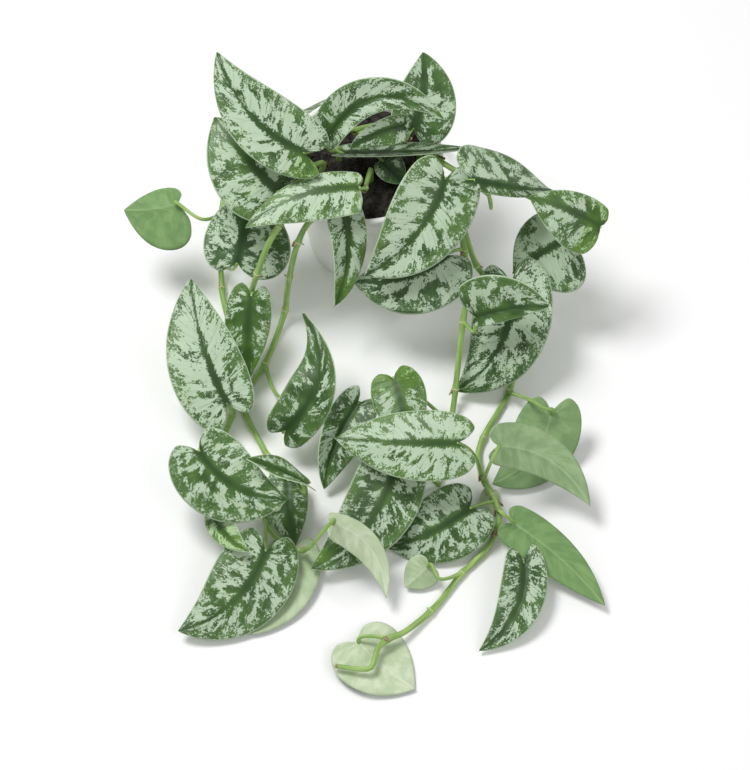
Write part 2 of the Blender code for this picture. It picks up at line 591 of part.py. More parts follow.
def add_soil(look):
    """The soil fills the pot, with a plain hole for each stem."""
    bottom = POT_FLOOR + GAP
    profile = (
        (0, bottom),
        (pot_inner_radius(bottom) - SOIL_SLACK, bottom),
        (pot_inner_radius(SOIL_TOP) - SOIL_SLACK, SOIL_TOP),
        (pot_inner_radius(SOIL_TOP) * MOUND_WIDTH, SOIL_TOP + SOIL_MOUND),
        (0, SOIL_TOP + SOIL_MOUND),
    )
    soil = add_object("soil", *turned(profile, SOIL_SIDES), look)
    holes = bpy.data.collections.new("soil_holes")
    bpy.context.scene.collection.children.link(holes)
    radius = (STEM_RADIUS + HOLE_CLEARANCE) / math.cos(math.pi / HOLE_SIDES)
    for stem in STEMS:
        low, route = stem_course(stem)
        path = [low - Vector((0, 0, GAP)), route[0] + Vector((0, 0, MM))]
        hole = add_object("hole_" + stem.name, *tube(path, radius, HOLE_SIDES), look)
        hole.hide_render = True
        hole.display_type = "WIRE"
        bpy.context.scene.collection.objects.unlink(hole)
        holes.objects.link(hole)
    cut = soil.modifiers.new("holes", "BOOLEAN")
    cut.operation = "DIFFERENCE"
    cut.operand_type = "COLLECTION"
    cut.collection = holes
    cut.solver = "MANIFOLD"
    bake(soil)
    for thing in list(holes.objects):
        bpy.data.objects.remove(thing)
    bpy.data.collections.remove(holes)


def build():
    clear_scene()
    blades = {look: material("leaf_" + look, colour, 0.42) for look, colour in LOOKS.items()}
    stalk = material("stem_green", (0.30, 0.47, 0.18), 0.45)
    add_pot(material("white_glaze", (0.86, 0.86, 0.84), 0.3))
    add_soil(material("dark_soil", (0.06, 0.045, 0.035), 0.95))
    for leaf in LEAVES:
        add_leaf(leaf, blades[leaf.look])
    for stem in STEMS:
        add_stem(stem, stalk)


build()
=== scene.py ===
import random
from collections import namedtuple
from math import atan, cos, exp, hypot, pi, radians, sin, sqrt

import bpy
import numpy as np
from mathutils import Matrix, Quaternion, Vector, noise


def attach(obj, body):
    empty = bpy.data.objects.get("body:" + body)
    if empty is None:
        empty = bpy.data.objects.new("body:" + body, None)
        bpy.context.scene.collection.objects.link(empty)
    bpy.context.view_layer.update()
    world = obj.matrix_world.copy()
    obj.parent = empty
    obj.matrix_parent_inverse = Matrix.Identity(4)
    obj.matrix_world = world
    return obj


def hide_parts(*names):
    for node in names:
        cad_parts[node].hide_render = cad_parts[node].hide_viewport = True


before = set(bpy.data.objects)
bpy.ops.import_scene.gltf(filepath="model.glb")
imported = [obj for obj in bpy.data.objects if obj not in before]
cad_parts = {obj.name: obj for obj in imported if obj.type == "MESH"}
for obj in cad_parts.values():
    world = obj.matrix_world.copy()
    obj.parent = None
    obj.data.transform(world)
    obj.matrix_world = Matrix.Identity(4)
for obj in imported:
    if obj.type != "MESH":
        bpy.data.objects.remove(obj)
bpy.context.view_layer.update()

MM = 0.001
GAP = 0.3 * MM
HAIR = 0.1 * MM

# The pot. BAND_FOOT is the step from the wall to the band under the rim, in mm out and up
POT_HEIGHT = 98 * MM
RIM_RADIUS = 55 * MM
FOOT_RADIUS = 41 * MM
POT_WALL = 2.8 * MM
POT_FLOOR = 4 * MM
POT_SIDES = 128
FOOT_INSET = 2.4 * MM
FOOT_ROUND = 2 * MM
FOOT_CUTS = 5
WALL_CUTS = 24
WALL_INSET = 0.1 * MM
THROW_DEPTH = 0.08 * MM
THROW_RATE = 40
RIM_BAND = 13 * MM
RIM_STEP = 2 * MM
RIM_CUTS = 12
BAND_FOOT = ((0, 0), (0.5, 0.2), (1.6, 1.2), (2, 2))
WALL_LEAN = RIM_RADIUS - RIM_STEP - FOOT_RADIUS

# The soil: its roughness in mm, and the loose crumbs on it
SOIL_TOP = 88 * MM
SOIL_MOUND = 3 * MM
SOIL_MOUND_SEEN = 0.55
SOIL_INSET = 0.4 * MM
SOIL_FOOT_INSET = 1.2 * MM
SOIL_RINGS, SOIL_SIDES = 46, 120
SOIL_ROUGH = 1.3
SOIL_ROUGH_SCALE = 260
SOIL_ROUGH_KIND = (0.8, 2.1, 5)
SOIL_SHARP = radians(35)
SOIL_DRAWS = 5
CRUMBS = 620
CRUMB_REACH = 0.94
CRUMB_SIZES = (0.7, 2.3)
CRUMB_SPREAD = 1.2
CRUMB_SCALE = 0.8
CRUMB_LIFT = 0.2
CRUMB_CORNER = (0.6, 1.1)
CRUMB_JOG = 0.3

# The stems, up out of the holes in the soil's solid
HOLE_DEPTH = 24 * MM
STEM_UPRIGHT = 4 * MM
STEM_TURN = 8 * MM
POINTS_OVER_SOIL = 2
STEM_RADIUS = 2.05 * MM
STEM_RINGS = 3.0 * MM
STEM_SIDES = 14
STEM_SEED = 3.1
STEM_DRAWS = 100
ROUND_SPAN = 4
END_RINGS = 12
END_SHARE = 0.72
FINE_CUTS = 12

# Their nodes: each has a swelling, a raised ring, perhaps a scrap of sheath, and a root nub.
# FIRST_NODE, LAST_NODE and NODE_EVERY count rings of the stem. NUB is the share of the length
# and the radius in mm at each ring of a nub, and DRY_END the mm past the stem's end, the share
# of the stem's radius and the mm more at each ring of its dry end
NODE_SWELL = 0.55 * MM
NODE_REACH = 3.0 * MM
NODE_APART = 16 * MM
FIRST_NODE, LAST_NODE, NODE_EVERY = 9, 6, 13
RING_STEPS = (-0.5, -0.2, 0.2, 0.5)
RING_SUNK = 0.98
RING_RAISED = 0.16 * MM
NUB = ((0, 0.62), (0.4, 0.55), (0.75, 0.42), (1, 0.15))
NUB_SIDES = 7
NUB_SUNK = 0.7
NUB_LENGTH = (1.2, 3.2)
NUB_LEAN = 0.5
SCRAP_CHANCE = 0.75
SCRAP_CLEAR = 6 * MM
SCRAP_TURN = 6.28
SCRAP_LENGTH = (2.4, 4.6)
SCRAP_CUTS = 5
SCRAP_ARC = 2.2
SCRAP_OFF = 0.1 * MM
SCRAP_THICK = 0.15 * MM
SCRAP_FLARE = 0.35
SCRAP_HEM = 0.3
DRY_END = ((-1.0, 1, 0.08), (0.3, 1, 0.05), (0.9, 0.6, 0))
BARE_END = 12 * MM

# The petioles. The last four are in petiole radii, and say how one meets its blade
PETIOLE_RADIUS = 1.25 * MM
PETIOLE_RINGS, PETIOLE_SIDES = 26, 10
PETIOLE_STREAKS = 50
PETIOLE_ARRIVAL = 0.34
PETIOLE_RISE = 0.12
PETIOLE_LEAVING = 0.4
SHEATH_SWELL = 0.75 * MM
SHEATH_REACH = 0.13
NECK_SWELL = 0.35 * MM
NECK_AT = 0.93
NECK_REACH = 0.05
ARRIVING_ALONG, ARRIVING_UP = 0.55, 0.85
LAST_STRAIGHT = 4
END_BELOW, END_BEHIND, END_INTO = 0.7, 0.6, 0.8

# The picture plane that places are given on, and how it is looked at
SQUARE = 0.70 * MM
MIDDLE_COLUMN, MIDDLE_ROW = 375, 385
PICTURE_SIDE = 770
SENSOR = 36
VIEW_RAISED = radians(60)
VIEW_DISTANCE = 2.0
VIEW_TARGET = Vector((7 * MM, -133 * MM, 11 * MM))
VIEW_UP = Vector((0, sin(VIEW_RAISED), cos(VIEW_RAISED)))
VIEW_FORWARD = Vector((0, cos(VIEW_RAISED), -sin(VIEW_RAISED)))
VIEW_EYE = VIEW_TARGET - VIEW_FORWARD * VIEW_DISTANCE

# Half a blade's outline, across and along, from beside the petiole round to the tip
OUTLINE = np.array([
    (0.08, -0.056), (0.23, -0.115), (0.48, -0.155), (0.78, -0.085), (0.95, 0.060), (1.00, 0.230),
    (0.94, 0.420), (0.77, 0.610), (0.49, 0.790), (0.19, 0.930), (0.00, 1.000),
])
BLADE_THICKNESS = 0.6 * MM
BLADE_ROWS, BLADE_RINGS = 44, 10
BLADE_SEED = 7.3
FAN_END = 0.3
VEIN_SPREAD = 1.6
VEIN_DROOP = 1.2
SIDE_VEINS = 9
VEIN_RELIEF = 0.22 * MM
VEIN_SHIFT = 2
VEINS_FADE = 3
RIPPLES, RIPPLE_SHIFT, SIDE_SHIFT = 2.3, 0.13, 0.3
CALM_SHARE = 0.3
LEVEL_SHARE = 0.4
RIB_DEPTH = 0.55 * MM
RIB_WIDTH = 1.6 * MM
FRESH_FADE = 0.16
FRESH_LOSS = 0.10

# A blade's looks and a stem's, in the order of their materials
TOP, BENEATH, MARGIN = range(3)
SKIN, DRY, RING = range(3)

Leaf = namedtuple(
    "Leaf",
    "name base tip left right paint roll fold cup arch twist sweep wave lobes look greener",
    defaults=(0, 6, 0, 20, 0, 0.0, 0.05, 1.0, "green", (2, 2, 0)),
)
# A piece is named leaf_ and this name. base and tip are places, left and right the half widths in
# mm seen from the top face with the tip up. paint is how silver the top is (about -0.1 to 0.2),
# how fresh its green (0 bluish to 1 yellowish) and how pale the underside (0 to 1). roll is the
# turn about the midrib away from the viewer in degrees, fold the rise of each half, cup the rise
# of the margin as a share of the half width, arch the midrib's bend, twist its turn, sweep its
# bow to the right as a share of the length, wave the margin's ripple, lobes how far the basal
# lobes reach back, as a share of the outline's, and look a word for the blade's kind (silver,
# green, pale or dark). greener is where it turns bright green: from and to which share of its
# length, on which half (-1 left, 1 right, 0 both)
LEAVES = (
    Leaf("crown_left_large", (302, 152, 140), (217, 52, 178), 21, 26, (0.11, 0.25, 0.3), roll=-4,
        arch=22, twist=8, sweep=-0.11, look="silver", greener=(-0.4, 0.14, -1)),
    Leaf("crown_left_round", (276, 190, 110), (214, 117, 130), 32, 25, (0.06, 0.4, 0.3), roll=8,
        fold=-4, arch=24, sweep=-0.03, wave=0.04),
    Leaf("far_left_small", (176, 204, 74), (124, 210, 66), 13, 31, (0.05, 0.6, 0.05), roll=180, fold=4,
        cup=0.05, arch=16, sweep=0.04, wave=0.03, look="pale"),
    Leaf("left_under", (237, 262, 60), (253, 186, 76), 26, 36, (0.04, 0.0, 0.2), roll=4, fold=-8,
        look="dark"),
    Leaf("front_long", (358, 187, 122), (245, 228, 108), 21, 13, (0.11, 0.75, 0.4), roll=20, fold=-8,
        arch=26, sweep=0.08, wave=0.04, lobes=0.25, look="silver"),
    Leaf("front_hanging", (343, 208, 108), (334, 307, 60), 13, 15, (0.09, 0.5, 0.4), roll=-22, fold=18,
        arch=24, twist=24, sweep=-0.08, wave=0.08, greener=(0.6, 1.2, 0)),
    Leaf("crown_top", (331, 134, 136), (444, 119, 154), 17, 11, (0.08, 0.3, 0.3), roll=10, fold=12,
        arch=56, twist=10, sweep=-0.27, lobes=0.55, look="silver", greener=(0.84, 1.2, 0)),
    Leaf("crown_small_pale", (404, 126, 141), (350, 148, 133), 11, 10, (0.08, 0.4, 0.45), roll=-24,
        fold=8, arch=24, sweep=0.08, lobes=0.5, look="pale"),
    Leaf("crown_right", (414, 127, 118), (423, 52, 148), 20, 25, (0.03, 0.2, 0.3), roll=10, fold=10,
        arch=18, sweep=0.06, wave=0.04),
    Leaf("crown_edge_on", (352, 153, 107), (474, 148, 114), 12, 10, (0.05, 0.1, 0.2), roll=-64, cup=0.1,
        arch=6, sweep=0.05, wave=0.0, look="silver"),
    Leaf("centre_right_large", (445, 180, 122), (364, 276, 84), 28, 29, (0.1, 0.35, 0.3), roll=-8,
        fold=7, arch=18, twist=6, sweep=-0.1, wave=0.04, look="silver"),
    Leaf("centre_right_under", (444, 256, 82), (353, 281, 64), 30, 22, (0.07, 0.05, 0.2), fold=-6,
        arch=22, sweep=-0.1, wave=0.03, look="dark"),
    Leaf("right_top", (476, 180, 140), (554, 190, 98), 38, 8, (0.07, 0.25, 0.2), roll=-28, fold=-22,
        sweep=0.04),
    Leaf("far_right", (600, 226, 98), (529, 196, 122), 25, 15, (0.07, 0.5, 0.3), roll=6, fold=-8,
        arch=26, sweep=0.03, wave=0.04, lobes=0.45, greener=(-0.4, 0.3, 0)),
    Leaf("far_right_under", (564, 240, 72), (513, 273, 50), 35, 26, (0.12, 0.35, 0.3), roll=6, fold=-8,
        arch=22, sweep=0.02, wave=0.04, look="silver"),
    Leaf("right_small_folded", (476, 317, 66), (549, 307, 76), 28, 8, (0.02, 0.3, 0.3), roll=14,
        fold=10, arch=30, sweep=-0.06, lobes=0.5, look="dark"),
    Leaf("right_large_round", (511, 284, 56), (455, 391, 8), 30, 27, (0.07, 0.1, 0.2), roll=14, fold=-6,
        arch=22, sweep=-0.17, wave=0.03),
    Leaf("left_large", (226, 402, 32), (191, 279, 62), 29, 24, (0.13, 0.3, 0.3), roll=-6, fold=8,
        arch=14, twist=6, sweep=-0.05, look="silver"),
    Leaf("left_behind", (251, 297, 55), (250, 378, 20), 16, 17, (0.0, 0.55, 0.2), roll=10, fold=-6,
        arch=18, sweep=0.03, wave=0.04),
    Leaf("middle_curved", (286, 430, 30), (303, 313, 62), 19, 17, (-0.02, 0.3, 0.3), roll=-24, fold=10,
        twist=78, sweep=0.24, lobes=0.45, look="dark"),
    Leaf("lower_left_round", (200, 452, 60), (288, 499, 50), 25, 30, (0.045, 0.35, 0.3), roll=6,
        fold=-7, arch=22, sweep=0.13, wave=0.04),
    Leaf("lower_left_small_edge_on", (304, 483, 48), (246, 459, 74), 13, 13, (0.02, 0.5, 0.5), roll=62,
        fold=12, arch=18, twist=24),
    Leaf("lower_left_dull", (288, 482, 17), (296, 546, 7), 14, 17, (0.0, 0.4, 0.2), fold=-4, arch=10,
        sweep=0.04, wave=0.03, look="dark"),
    Leaf("lower_left_small_pale", (215, 512, 23), (249, 552, 38), 12, 9, (0.16, 0.9, 0.7), roll=10,
        fold=8, arch=26, sweep=0.08, wave=0.07, look="pale"),
    Leaf("bottom_left_large", (265, 552, 27), (178, 631, 10), 28, 27, (0.05, 0.35, 0.3), fold=-7,
        sweep=-0.13, wave=0.04),
    Leaf("bottom_left_behind", (293, 552, 9), (252, 634, 4), 20, 21, (0.05, 0.5, 0.6), roll=193, fold=2,
        arch=4, sweep=0.08, wave=0.03, look="pale"),
    Leaf("folded_pale", (333, 524, 50), (386, 598, 16), 12, 10, (0.08, 0.6, 0.85), roll=160, fold=10,
        twist=-60, sweep=0.2, wave=0.04, lobes=0.3, look="pale"),
    Leaf("centre_low_large", (395, 466, 38), (311, 569, 13), 25, 25, (0.02, 0.35, 0.3), roll=-8,
        arch=14, sweep=-0.11, greener=(0.7, 1.2, 1)),
    Leaf("centre_low_right", (469, 509, 24), (388, 548, 4), 26, 24, (0.05, 0.25, 0.3), roll=4, fold=-7,
        arch=14, sweep=-0.05),
    Leaf("centre_across", (456, 443, 66), (335, 438, 52), 26, 23, (0.11, 0.6, 0.4), roll=8, fold=-7,
        arch=26, sweep=-0.02, wave=0.04, look="silver"),
    Leaf("centre_left_folded", (357, 405, 34), (324, 489, 8), 19, 16, (0.04, 0.25, 0.3), roll=-8,
        fold=26, arch=22, twist=16, sweep=0.07, wave=0.06),
    Leaf("centre_top", (394, 379, 48), (406, 448, 34), 19, 19, (0.02, 0.6, 0.3), fold=-8, sweep=-0.04,
        greener=(-0.4, 0.25, 0)),
    Leaf("right_underside_low", (551, 414, 30), (492, 484, 9), 22, 24, (0.05, 0.4, 0.14), roll=176,
        arch=12, sweep=0.14, wave=0.03, look="pale"),
    Leaf("right_underside_front", (499, 446, 56), (590, 506, 22), 15, 17, (0.05, 0.4, 0.25), roll=172,
        fold=8, arch=30, sweep=0.15, wave=0.03, lobes=0.5, look="pale"),
    Leaf("lower_right_underside", (513, 523, 30), (605, 606, 8), 16, 15, (0.05, 0.4, 0.03), roll=170,
        fold=8, arch=16, sweep=0.05, wave=0.03, lobes=0.5, look="pale"),
    Leaf("lower_right_small", (524, 564, 20), (479, 651, 4), 16, 16, (0.04, 0.25, 0.3), roll=-6,
        fold=10, twist=6, sweep=-0.14),
    Leaf("low_small_pale", (428, 567, 12), (405, 587, 5), 12, 12, (0.08, 0.5, 0.6), roll=176, fold=4,
        arch=10, wave=0.03, look="pale"),
    Leaf("right_sliver", (490, 495, 5), (489, 536, 3), 7, 8, (0.08, 0.5, 0.75), roll=170, arch=6,
        wave=0.02, look="pale"),
    Leaf("lowest_pale", (359, 643, 6), (415, 689, 3), 27, 26, (0.08, 0.5, 0.88), roll=156, fold=2,
        arch=6, sweep=-0.03, wave=0.03, look="pale"),
    Leaf("crown_inner_right", (384, 162, 106), (404, 184, 97), 11, 10, (-0.03, 0.0, 0.2), roll=-10,
        arch=16, wave=0.03, look="dark"),
    Leaf("back_middle", (404, 104, 38), (352, 97, 8), 18, 19, (0.04, 0.3, 0.3), roll=75, arch=16,
        wave=0.04),
    Leaf("back_left", (350, 106, 38), (294, 114, 8), 17, 18, (0.04, 0.3, 0.3), roll=75, arch=16,
        wave=0.04),
)
# Each leafy stem: where it leaves the soil (mm from the pot's axis), its course, and for each
# leaf that it carries the place in the course, counted from 0, where the petiole starts, and
# the places that the petiole passes, if any
Stem = namedtuple("Stem", "name root course carries")
STEMS = (
    Stem("stem_left_outer", (-30, -8), (
        (290, 176, 108), (272, 176, 104), (254, 177, 94), (238, 182, 82), (224, 200, 60),
        (219, 240, 32), (221, 272, 10), (223, 298, 4), (229, 324, 3), (234, 366, 3), (233, 409, 3),
        (224, 436, 3), (214, 462, 3), (216, 488, 3), (224, 506, 4),
    ), (
        ("crown_left_round", 0.5), ("far_left_small", 4, (219, 214, 66), (201, 219, 74)),
        ("left_under", 5.6), ("left_large", 10.2), ("lower_left_round", 12),
        ("lower_left_small_pale", 13.9),
    )),
    Stem("stem_left_inner", (-26, -22), (
        (306, 200, 110), (290, 212, 108), (274, 234, 100), (264, 254, 88), (256, 277, 68),
        (248, 302, 28), (241, 324, 6), (246, 350, 3), (249, 372, 3),
    ), (
        ("left_behind", 5.6),
    )),
    Stem("stem_left_front", (-12, -32), (
        (322, 212, 105), (306, 226, 101), (295, 252, 82), (288, 286, 42), (285, 310, 14), (277, 335, 4),
        (265, 364, 3), (252, 384, 3), (243, 402, 3), (250, 424, 3), (262, 446, 3), (272, 468, 3),
        (270, 496, 3), (266, 520, 5), (276, 538, 13), (290, 549, 14), (303, 551, 16),
    ), (
        ("middle_curved", 6, (273, 389, 9), (284, 404, 16)),
        ("lower_left_small_edge_on", 10.5, (290, 472, 34)), ("lower_left_dull", 12),
        ("bottom_left_large", 13), ("bottom_left_behind", 14.9),
        ("folded_pale", 16, (312, 546, 42), (321, 534, 59)),
    )),
    Stem("stem_right", (32, -24), (
        (430, 194, 110), (448, 208, 104), (460, 230, 88), (466, 262, 70), (468, 292, 62),
        (463, 321, 50), (459, 356, 34), (454, 402, 10), (450, 430, 3), (447, 458, 3), (438, 486, 3),
    ), (
        ("centre_right_large", 0.2), ("centre_right_under", 2.6),
        ("right_small_folded", 5, (474, 332, 52)), ("centre_top", 7.8),
        ("centre_left_folded", 8.4, (400, 416, 16)), ("centre_low_large", 9.9),
    )),
    Stem("stem_right_outer", (36, -12), (
        (446, 186, 104), (458, 206, 88), (465, 232, 72), (475, 262, 54), (487, 280, 38), (503, 304, 14),
        (514, 330, 4), (516, 360, 3), (509, 392, 3), (498, 412, 3), (485, 434, 3), (478, 456, 4),
        (484, 480, 12), (496, 502, 13), (499, 522, 12), (489, 545, 5), (472, 564, 3), (461, 574, 3),
        (435, 607, 3), (406, 631, 7), (388, 639, 11), (378, 648, 12), (375, 658, 12), (368, 669, 12),
        (336, 666, 12),
    ), (
        ("right_large_round", 4.4), ("right_underside_low", 8, (532, 401, 42), (543, 408, 44)),
        ("right_underside_front", 12, (490, 464, 54)), ("centre_across", 11.8),
        ("centre_low_right", 13), ("right_sliver", 12.6),
        ("lower_right_underside", 13.4, (500, 511, 42)), ("lower_right_small", 14.4),
        ("low_small_pale", 17, (440, 579, 14)), ("lowest_pale", 20),
    )),
    Stem("stem_far_right", (38, 4), (
        (458, 172, 104), (478, 178, 98), (500, 186, 92), (524, 194, 86), (544, 206, 78), (556, 222, 66),
    ), (
        ("right_top", 1.4, (491, 208, 100), (488, 195, 124)), ("far_right", 4.4),
        ("far_right_under", 4.9),
    )),
    Stem("stem_crown_left", (-18, 4), (
        (330, 150, 108), (326, 142, 118),
    ), (
        ("crown_left_large", 0.9), ("crown_edge_on", -0.5),
    )),
    Stem("stem_crown_top", (0, 18), (
        (356, 134, 112), (354, 130, 120),
    ), (
        ("crown_top", 0.9), ("crown_small_pale", 0.8), ("crown_inner_right", -0.9),
    )),
    Stem("stem_crown_right", (24, 16), (
        (404, 141, 110), (407, 137, 116),
    ), (
        ("crown_right", 0.9),
    )),
    Stem("stem_crown_front", (4, -14), (
        (366, 186, 108), (366, 188, 114),
    ), (
        ("front_long", 0.9), ("front_hanging", 0.5),
    )),
    Stem("stem_back", (30, 24), (
        (428, 118, 112), (437, 120, 100), (442, 128, 74), (442, 134, 44), (436, 138, 16), (424, 134, 4),
        (400, 130, 3), (370, 128, 3), (345, 130, 3),
    ), (
        ("back_middle", 6), ("back_left", 7.6),
    )),
)


def add_object(name, data):
    made = bpy.data.objects.new(name, data)
    bpy.context.scene.collection.objects.link(made)
    return made


def add_piece(node, points, faces, looks, face_looks=None, fields=None):
    """A piece that replaces a CAD node. fields are named values of three numbers a point."""
    name = "fine_" + node
    mesh = bpy.data.meshes.new(name)
    mesh.from_pydata([(x, y, max(z, 0)) for x, y, z in points], [], faces)
    for look in looks:
        mesh.materials.append(look)
    if face_looks:
        mesh.polygons.foreach_set("material_index", face_looks)
    for field, values in (fields or {}).items():
        made = mesh.attributes.new(field, "FLOAT_VECTOR", "POINT")
        made.data.foreach_set("vector", np.asarray(values, dtype=np.float32).ravel())
    mesh.shade_smooth()
    piece = add_object(name, mesh)
    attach(piece, "root")
    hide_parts(node)
    return piece


def clamped(value):
    return min(max(value, 0), 1)


def bell(away, reach):
    """1 where away is 0, falling off to about a third at this reach."""
    return exp(-(away / reach) ** 2)


def smooth_through(points, share):
    """A point of the smooth curve through the points, at a share of their number, 0 to 1."""
    last = len(points) - 1
    where = clamped(share) * last
    first = min(int(where), last - 1)
    t = where - first
    a = points[max(first - 1, 0)]
    b = points[first]
    c = points[first + 1]
    d = points[min(first + 2, last)]
    square = 2 * a - 5 * b + 4 * c - d
    cube = 3 * b - a - 3 * c + d
    return 0.5 * (2 * b + (c - a) * t + square * t ** 2 + cube * t ** 3)


def runs_along(points):
    """How far along the line of points each of them is."""
    run = [0.0]
    for before, after in zip(points, points[1:]):
        run.append(run[-1] + (after - before).length)
    return run


def even_points(points, step):
    """The smooth curve through the points, cut into even steps of about this length."""
    cuts = FINE_CUTS * len(points)
    fine = [smooth_through(points, i / cuts) for i in range(cuts + 1)]
    run = runs_along(fine)
    count = max(2, round(run[-1] / step))
    made = []
    for i in range(count + 1):
        where = np.interp(run[-1] * i / count, run, range(len(run)))
        at = min(int(where), len(fine) - 2)
        made.append(fine[at].lerp(fine[at + 1], where - at))
    return made


def place(spot):
    """The point seen at this column and row of the picture plane, at this height in mm."""
    column, row, height = spot
    across = Vector((1, 0, 0)) * (column - MIDDLE_COLUMN) * SQUARE
    up = VIEW_UP * (MIDDLE_ROW - row) * SQUARE
    ray = VIEW_TARGET + across + up - VIEW_EYE
    return VIEW_EYE + ray * ((height * MM - VIEW_EYE.z) / ray.z)


def half_width(leaf, side):
    """The width in mm of the blade's right (side 1) or left (side -1) half."""
    return leaf.right if side > 0 else leaf.left


def flat_point(share, ring):
    """A point of the flat half blade: share goes round the outline, ring from midrib to margin."""
    across, along = smooth_through(OUTLINE, share)
    start = max(share - FAN_END, 0) / (1 - FAN_END)
    start = start ** VEIN_SPREAD
    return across * ring, start + (along - start) * ring ** VEIN_DROOP


class Frame:
    """A blade's place in space: where its base is, and where its length and its top face look."""

    def __init__(self, leaf):
        self.leaf = leaf
        self.base = place(leaf.base)
        tip = place(leaf.tip)
        self.chord = (tip - self.base).length
        self.along = (tip - self.base).normalized()
        to_eye = VIEW_EYE - (tip + self.base) / 2
        facing = (to_eye - self.along * to_eye.dot(self.along)).normalized()
        roll = radians(leaf.roll)
        self.up = facing * cos(roll) + self.along.cross(facing) * sin(roll)
        self.right = self.along.cross(self.up)

    def point(self, side, share, ring):
        """The blade's middle surface, with its sunk midrib and the swell between its side veins."""
        leaf = self.leaf
        across, along = flat_point(share, ring)
        along *= leaf.lobes if along < 0 else 1
        half = half_width(leaf, side) * MM
        fold = radians(leaf.fold)
        distance = across * half
        phase = RIPPLES * share + RIPPLE_SHIFT * leaf.base[0] + SIDE_SHIFT * side
        ripple = sin(2 * pi * phase)
        ripple *= leaf.wave * ring ** 3 * min(1, share / CALM_SHARE)
        rise = distance * sin(fold) + half * (leaf.cup * across ** 2 + ripple)
        if along < 1:
            rise -= RIB_DEPTH * bell(distance, RIB_WIDTH) * (1 - along) ** 0.5
        swell = cos(2 * pi * SIDE_VEINS * share + VEIN_SHIFT * side)
        rise += VEIN_RELIEF * swell * 4 * ring * (1 - ring) * min(1, VEINS_FADE * (1 - share))
        return self.bent(side * distance * cos(fold), along, rise)

    def bent(self, x, along, z):
        """A flat point carried onto the arched, swept and twisted midrib."""
        leaf = self.leaf
        arch = radians(leaf.arch)
        length = self.chord * (arch / 2) / sin(arch / 2)
        pitch = arch / 2 - arch * along
        y = length / arch * (sin(arch / 2) - sin(pitch))
        height = length / arch * (cos(pitch) - cos(arch / 2))
        yaw = atan(4 * leaf.sweep * (1 - 2 * along))
        turn = radians(leaf.twist) * (along - LEVEL_SHARE)
        side = leaf.sweep * length * 4 * along * (1 - along)
        level = -sin(yaw)
        right = Vector((cos(yaw), level * cos(pitch), level * sin(pitch)))
        up = Vector((0, -sin(pitch), cos(pitch)))
        across = right * cos(turn) + up * sin(turn)
        over = up * cos(turn) - right * sin(turn)
        spot = Vector((side, y, height)) + across * x + over * z
        return self.base + self.right * spot.x + self.along * spot.y + self.up * spot.z


def margin_runs(half, chord):
    """How far round the margin each row of the blade is, half and chord being its sizes."""
    outline = [smooth_through(OUTLINE, i / BLADE_ROWS) for i in range(BLADE_ROWS + 1)]
    return runs_along([Vector((across * half, along * chord)) for across, along in outline])


def traits(leaf, along, out):
    """The paint at a place on the blade: the leaf's own, greener in its fresh part."""
    silver, fresh, pale = leaf.paint
    low, high, side = leaf.greener
    inside = clamped((along - low) / FRESH_FADE) * clamped((high - along) / FRESH_FADE)
    inside *= side * out >= 0
    return silver - FRESH_LOSS * inside, fresh + (1 - fresh) * inside, pale


def blade_surface(leaf, seed):
    """Points and triangles of the blade's middle surface, and the paint fields at its points."""
    shape = Frame(leaf)
    runs = {side: margin_runs(half_width(leaf, side) * MM, shape.chord) for side in (-1, 1)}
    points, index = [], {}
    fields = {"vein": [], "blade": [], "traits": []}

    def number(key, side, row, ring):
        if key not in index:
            index[key] = len(points)
            share = row / BLADE_ROWS
            out = ring / BLADE_RINGS
            half = half_width(leaf, side)
            across, along = flat_point(share, out)
            points.append(shape.point(side, share, out))
            fields["vein"].append((runs[side][row] / MM, side * out * half, seed))
            fields["blade"].append((across * half, along * shape.chord / MM, out))
            fields["traits"].append(traits(leaf, along, side * out))
        return index[key]

    def corner(side, row, ring):
        if row == BLADE_ROWS:
            return number("tip", side, row, BLADE_RINGS)
        if ring == 0:
            fan = row / BLADE_ROWS <= FAN_END
            return number("base" if fan else ("rib", row), side, row, 0)
        return number((side, row, ring), side, row, ring)

    triangles = []
    for side in (-1, 1):
        for row in range(BLADE_ROWS):
            for ring in range(BLADE_RINGS):
                a = corner(side, row, ring)
                b = corner(side, row, ring + 1)
                c = corner(side, row + 1, ring + 1)
                d = corner(side, row + 1, ring)
                for three in ((a, b, c), (a, c, d)):
                    if len(set(three)) == 3:
                        triangles.append(three if side > 0 else three[::-1])
    return points, triangles, fields


def thickened(points, triangles):
    """A closed body round the surface, and each face's look: on top, beneath or on the margin."""
    normals = [Vector((0, 0, 0)) for _ in points]
    edges = set()
    for a, b, c in triangles:
        normal = (points[b] - points[a]).cross(points[c] - points[a])
        for corner in (a, b, c):
            normals[corner] += normal
        edges.update(((a, b), (b, c), (c, a)))
    count = len(points)
    half = [normal.normalized() * BLADE_THICKNESS / 2 for normal in normals]
    body = [point + lift for point, lift in zip(points, half)]
    body += [point - lift for point, lift in zip(points, half)]
    faces = triangles + [(c + count, b + count, a + count) for a, b, c in triangles]
    looks = [TOP] * len(triangles) + [BENEATH] * len(triangles)
    for a, b in sorted(edges):
        if (b, a) not in edges:
            faces.append((b, a, a + count, b + count))
            looks.append(MARGIN)
    return body, faces, looks


def add_leaf(number, leaf, looks):
    """One blade, with the fields that its materials read."""
    points, triangles, fields = blade_surface(leaf, BLADE_SEED * (number + 1))
    body, faces, face_looks = thickened(points, triangles)
    fields = {name: values * 2 for name, values in fields.items()}
    add_piece("leaf_" + leaf.name, body, faces, looks, face_looks, fields)


